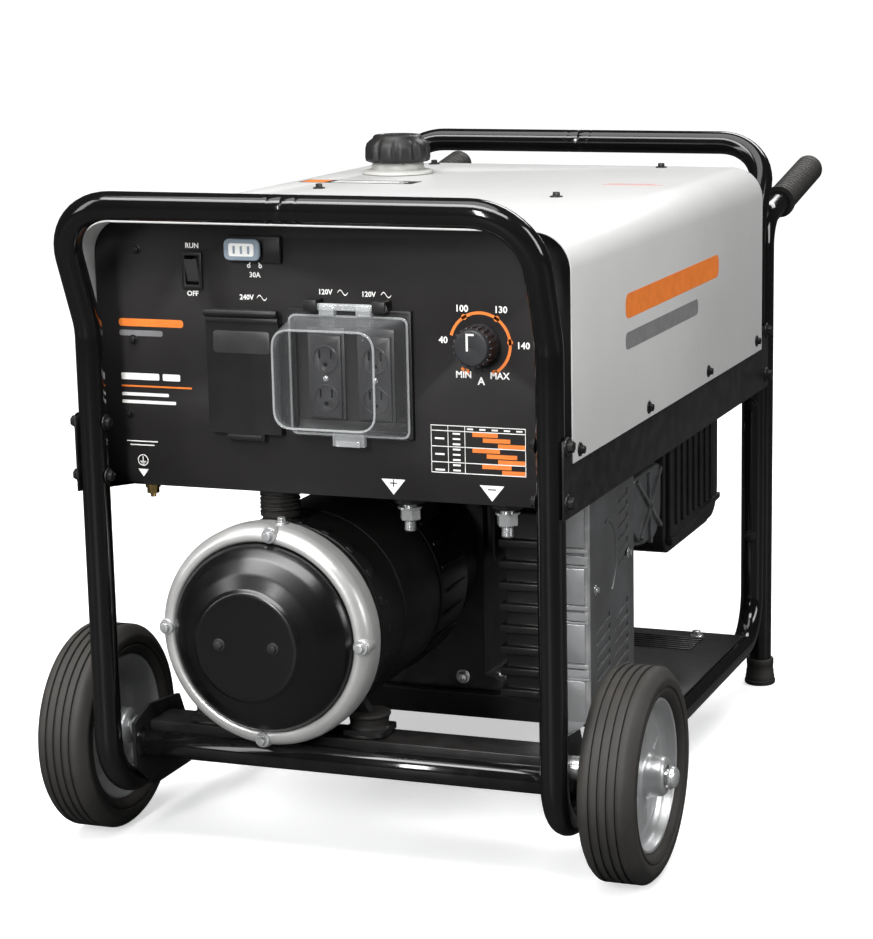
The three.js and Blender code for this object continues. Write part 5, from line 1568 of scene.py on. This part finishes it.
# The air cleaner's moulded cover: rounded upright ribs, a drawn-in foot and a latch ear.
def makeAirCleaner():
    low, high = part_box("air_cleaner_cover")
    x0, x1 = low.x / mm, high.x / mm
    z0, z1 = low.z / mm, high.z / mm
    y0, y1 = (low.y - frontLegY) / mm, (high.y - frontLegY) / mm
    side = [(y0, z1), (y0, z0 + 14), (y0 + 12, z0), (y1 - 26, z0), (y1, z0 + 26), (y1, z1)]
    bm = bmesh.new()
    pushed(bm, eased(side, 12, 5), "x", x0, x1 - 10)
    inner = [(y0 + 6, z1 - 3), (y0 + 6, z0 + 18), (y0 + 16, z0 + 8), (y1 - 30, z0 + 8),
             (y1 - 8, z0 + 30), (y1 - 8, z1 - 3)]
    pushed(bm, eased(inner, 14, 5), "x", x1 - 12, x1 - 3)
    piece("airCleanerCover", bm, "mouldedBlack", hides=("air_cleaner_cover",), bevel=3.2,
          segments=4)
    bm = bmesh.new()
    for k in range(7):
        y = y0 + 26 + k * 26
        pushed(bm, eased([(y - 5, z0 + 34), (y + 5, z0 + 34), (y + 5, z1 - 14), (y - 5, z1 - 14)],
                         4.8, 4), "x", x1 - 5, x1 + 0.5)
    piece("airCleanerRibs", bm, "mouldedBlack", bevel=1.6, segments=3)
    bm = bmesh.new()
    pushed(bm, eased([(y0 + 2, z0 + 22), (y1 - 4, z0 + 34), (y1 - 4, z0 + 27), (y0 + 2, z0 + 15)],
                     2), "x", x1 - 9, x1 - 1)
    piece("airCleanerBelt", bm, "mouldedBlack", bevel=1.2)
    bm = bmesh.new()
    ear = [(y1 - 2, z0 + 126), (y1 + 9, z0 + 120), (y1 + 16, z0 + 108), (y1 + 9, z0 + 94),
           (y1 - 2, z0 + 86)]
    pushed(bm, eased(ear, 6, 5), "x", x1 - 30, x1 - 16)
    piece("airCleanerLatch", bm, "mouldedBlack", bevel=1.6, segments=3)
    bolts("airCleanerScrews",
          [(at(x1 - 16, y1 + 6, z0 + 107), (1, 0, 0)), (at(x1 - 4.4, y0 + 13, z1 - 12), (1, 0, 0))],
          "zincBright", 4.2, 3.2, 6.0, 1.0)
    bm = bmesh.new()
    hook = [(0, 0, z1 - 36), (0, 10, z1 - 38), (0, 20, z1 - 30), (0, 20, z1 - 12), (0, 8, z1 - 8)]
    line = bentLine([(x1 - 44 + a, y1 - 4 + b, z) for a, b, z in hook], [4, 5, 5], 5)
    sweptTube(bm, line, 2.2, 12)
    piece("chokeBracket", bm, "satinBlack", sharp=50)


makeAirCleaner()


# The recoil starter: a dished cover with a louvred ring, seen from behind.
def makeStarter():
    start = (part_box("recoil_starter")[0].y - frontLegY) / mm
    profile = [(0, 14), (66, 14), (66, 0), (90, 0), (91, 3), (89, 22), (84, 28), (74, 34), (70, 41),
               (60, 43.5), (30, 43.5),
               (27, 46), (0, 46)]
    bm = bmesh.new()
    lathe(bm, eased(profile, 2.4, 3, False), at(alternator["x"], start, alternatorZ), "y", 96)
    boss = oblong(alternator["x"] + 50, alternator["x"] + 78, alternatorZ + 52, alternatorZ + 84, 6,
                  4)
    pushed(bm, boss, "y", start + 2, start + 34)
    piece("recoilStarter", bm, "mouldedBlack", hides=("recoil_starter",), sharp=36)
    centre = at(alternator["x"], start, alternatorZ)
    ringOfBars("starterLouvres", centre + Vector((0, 42.6 * mm, 0)), "y", 47, (24, 3, 3.6), 20,
               "mouldedBlack", lean=0.5, bevel=0.9)
    ringOfBars("starterRim", centre + Vector((0, 12 * mm, 0)), "y", 89, (3.6, 6, 17), 28,
               "mouldedBlack", bevel=0.9)
    bolts("starterScrews",
          [(aroundShaft(78, d, start + 31.5), (0, 1, 0)) for d in (45, 135, 225, 315)],
          "zincBright", 4.0, 3.4, 6, 1.0)


makeStarter()
bars("cylinderFinEdges", (alternator["x"] + 110, 468, alternatorZ + 114), (11, 0, 0), (3, 116, 6),
     10, "darkCasting", bevel=0.8)
bars("blowerRibs", (alternator["x"], 592, alternatorZ + 123), (0, 10, 0), (96, 3, 4), 3,
     "satinBlack", bevel=0.9)


# The oil filler and drain plug on the sump's foot, and the spark lead over the fins.
def makeEngineFittings():
    bm = bmesh.new()
    x = alternator["x"]
    lathe(bm, eased([(0, 0), (9, 0), (9, 8), (13.5, 9), (13.5, 20), (11, 23), (0, 23)], 1.4, 3,
                    False),
          at(x - 70, 411.6, 118), (Vector((1, 0, 0)), Vector((0, 0, 1)), Vector((0, -1, 0))), 36)
    piece("oilFiller", bm, "mouldedBlack", sharp=40)
    bm = bmesh.new()
    line = bentLine([(118, 428, alternatorZ + 112), (118, 428, alternatorZ + 134),
                     (60, 560, alternatorZ + 134), (40, 592, alternatorZ + 118)],
                    [12, 26], 8)
    sweptTube(bm, line, 3.4, 16)
    piece("sparkLead", bm, "rubberBlack", sharp=50)
    bolts("drainPlug", [(at(x + 70, 411.8, 104), (0, -1, 0))], "zincBright", 7.0, 6.0, 9.0, 1.6)


makeEngineFittings()
print("engine done")
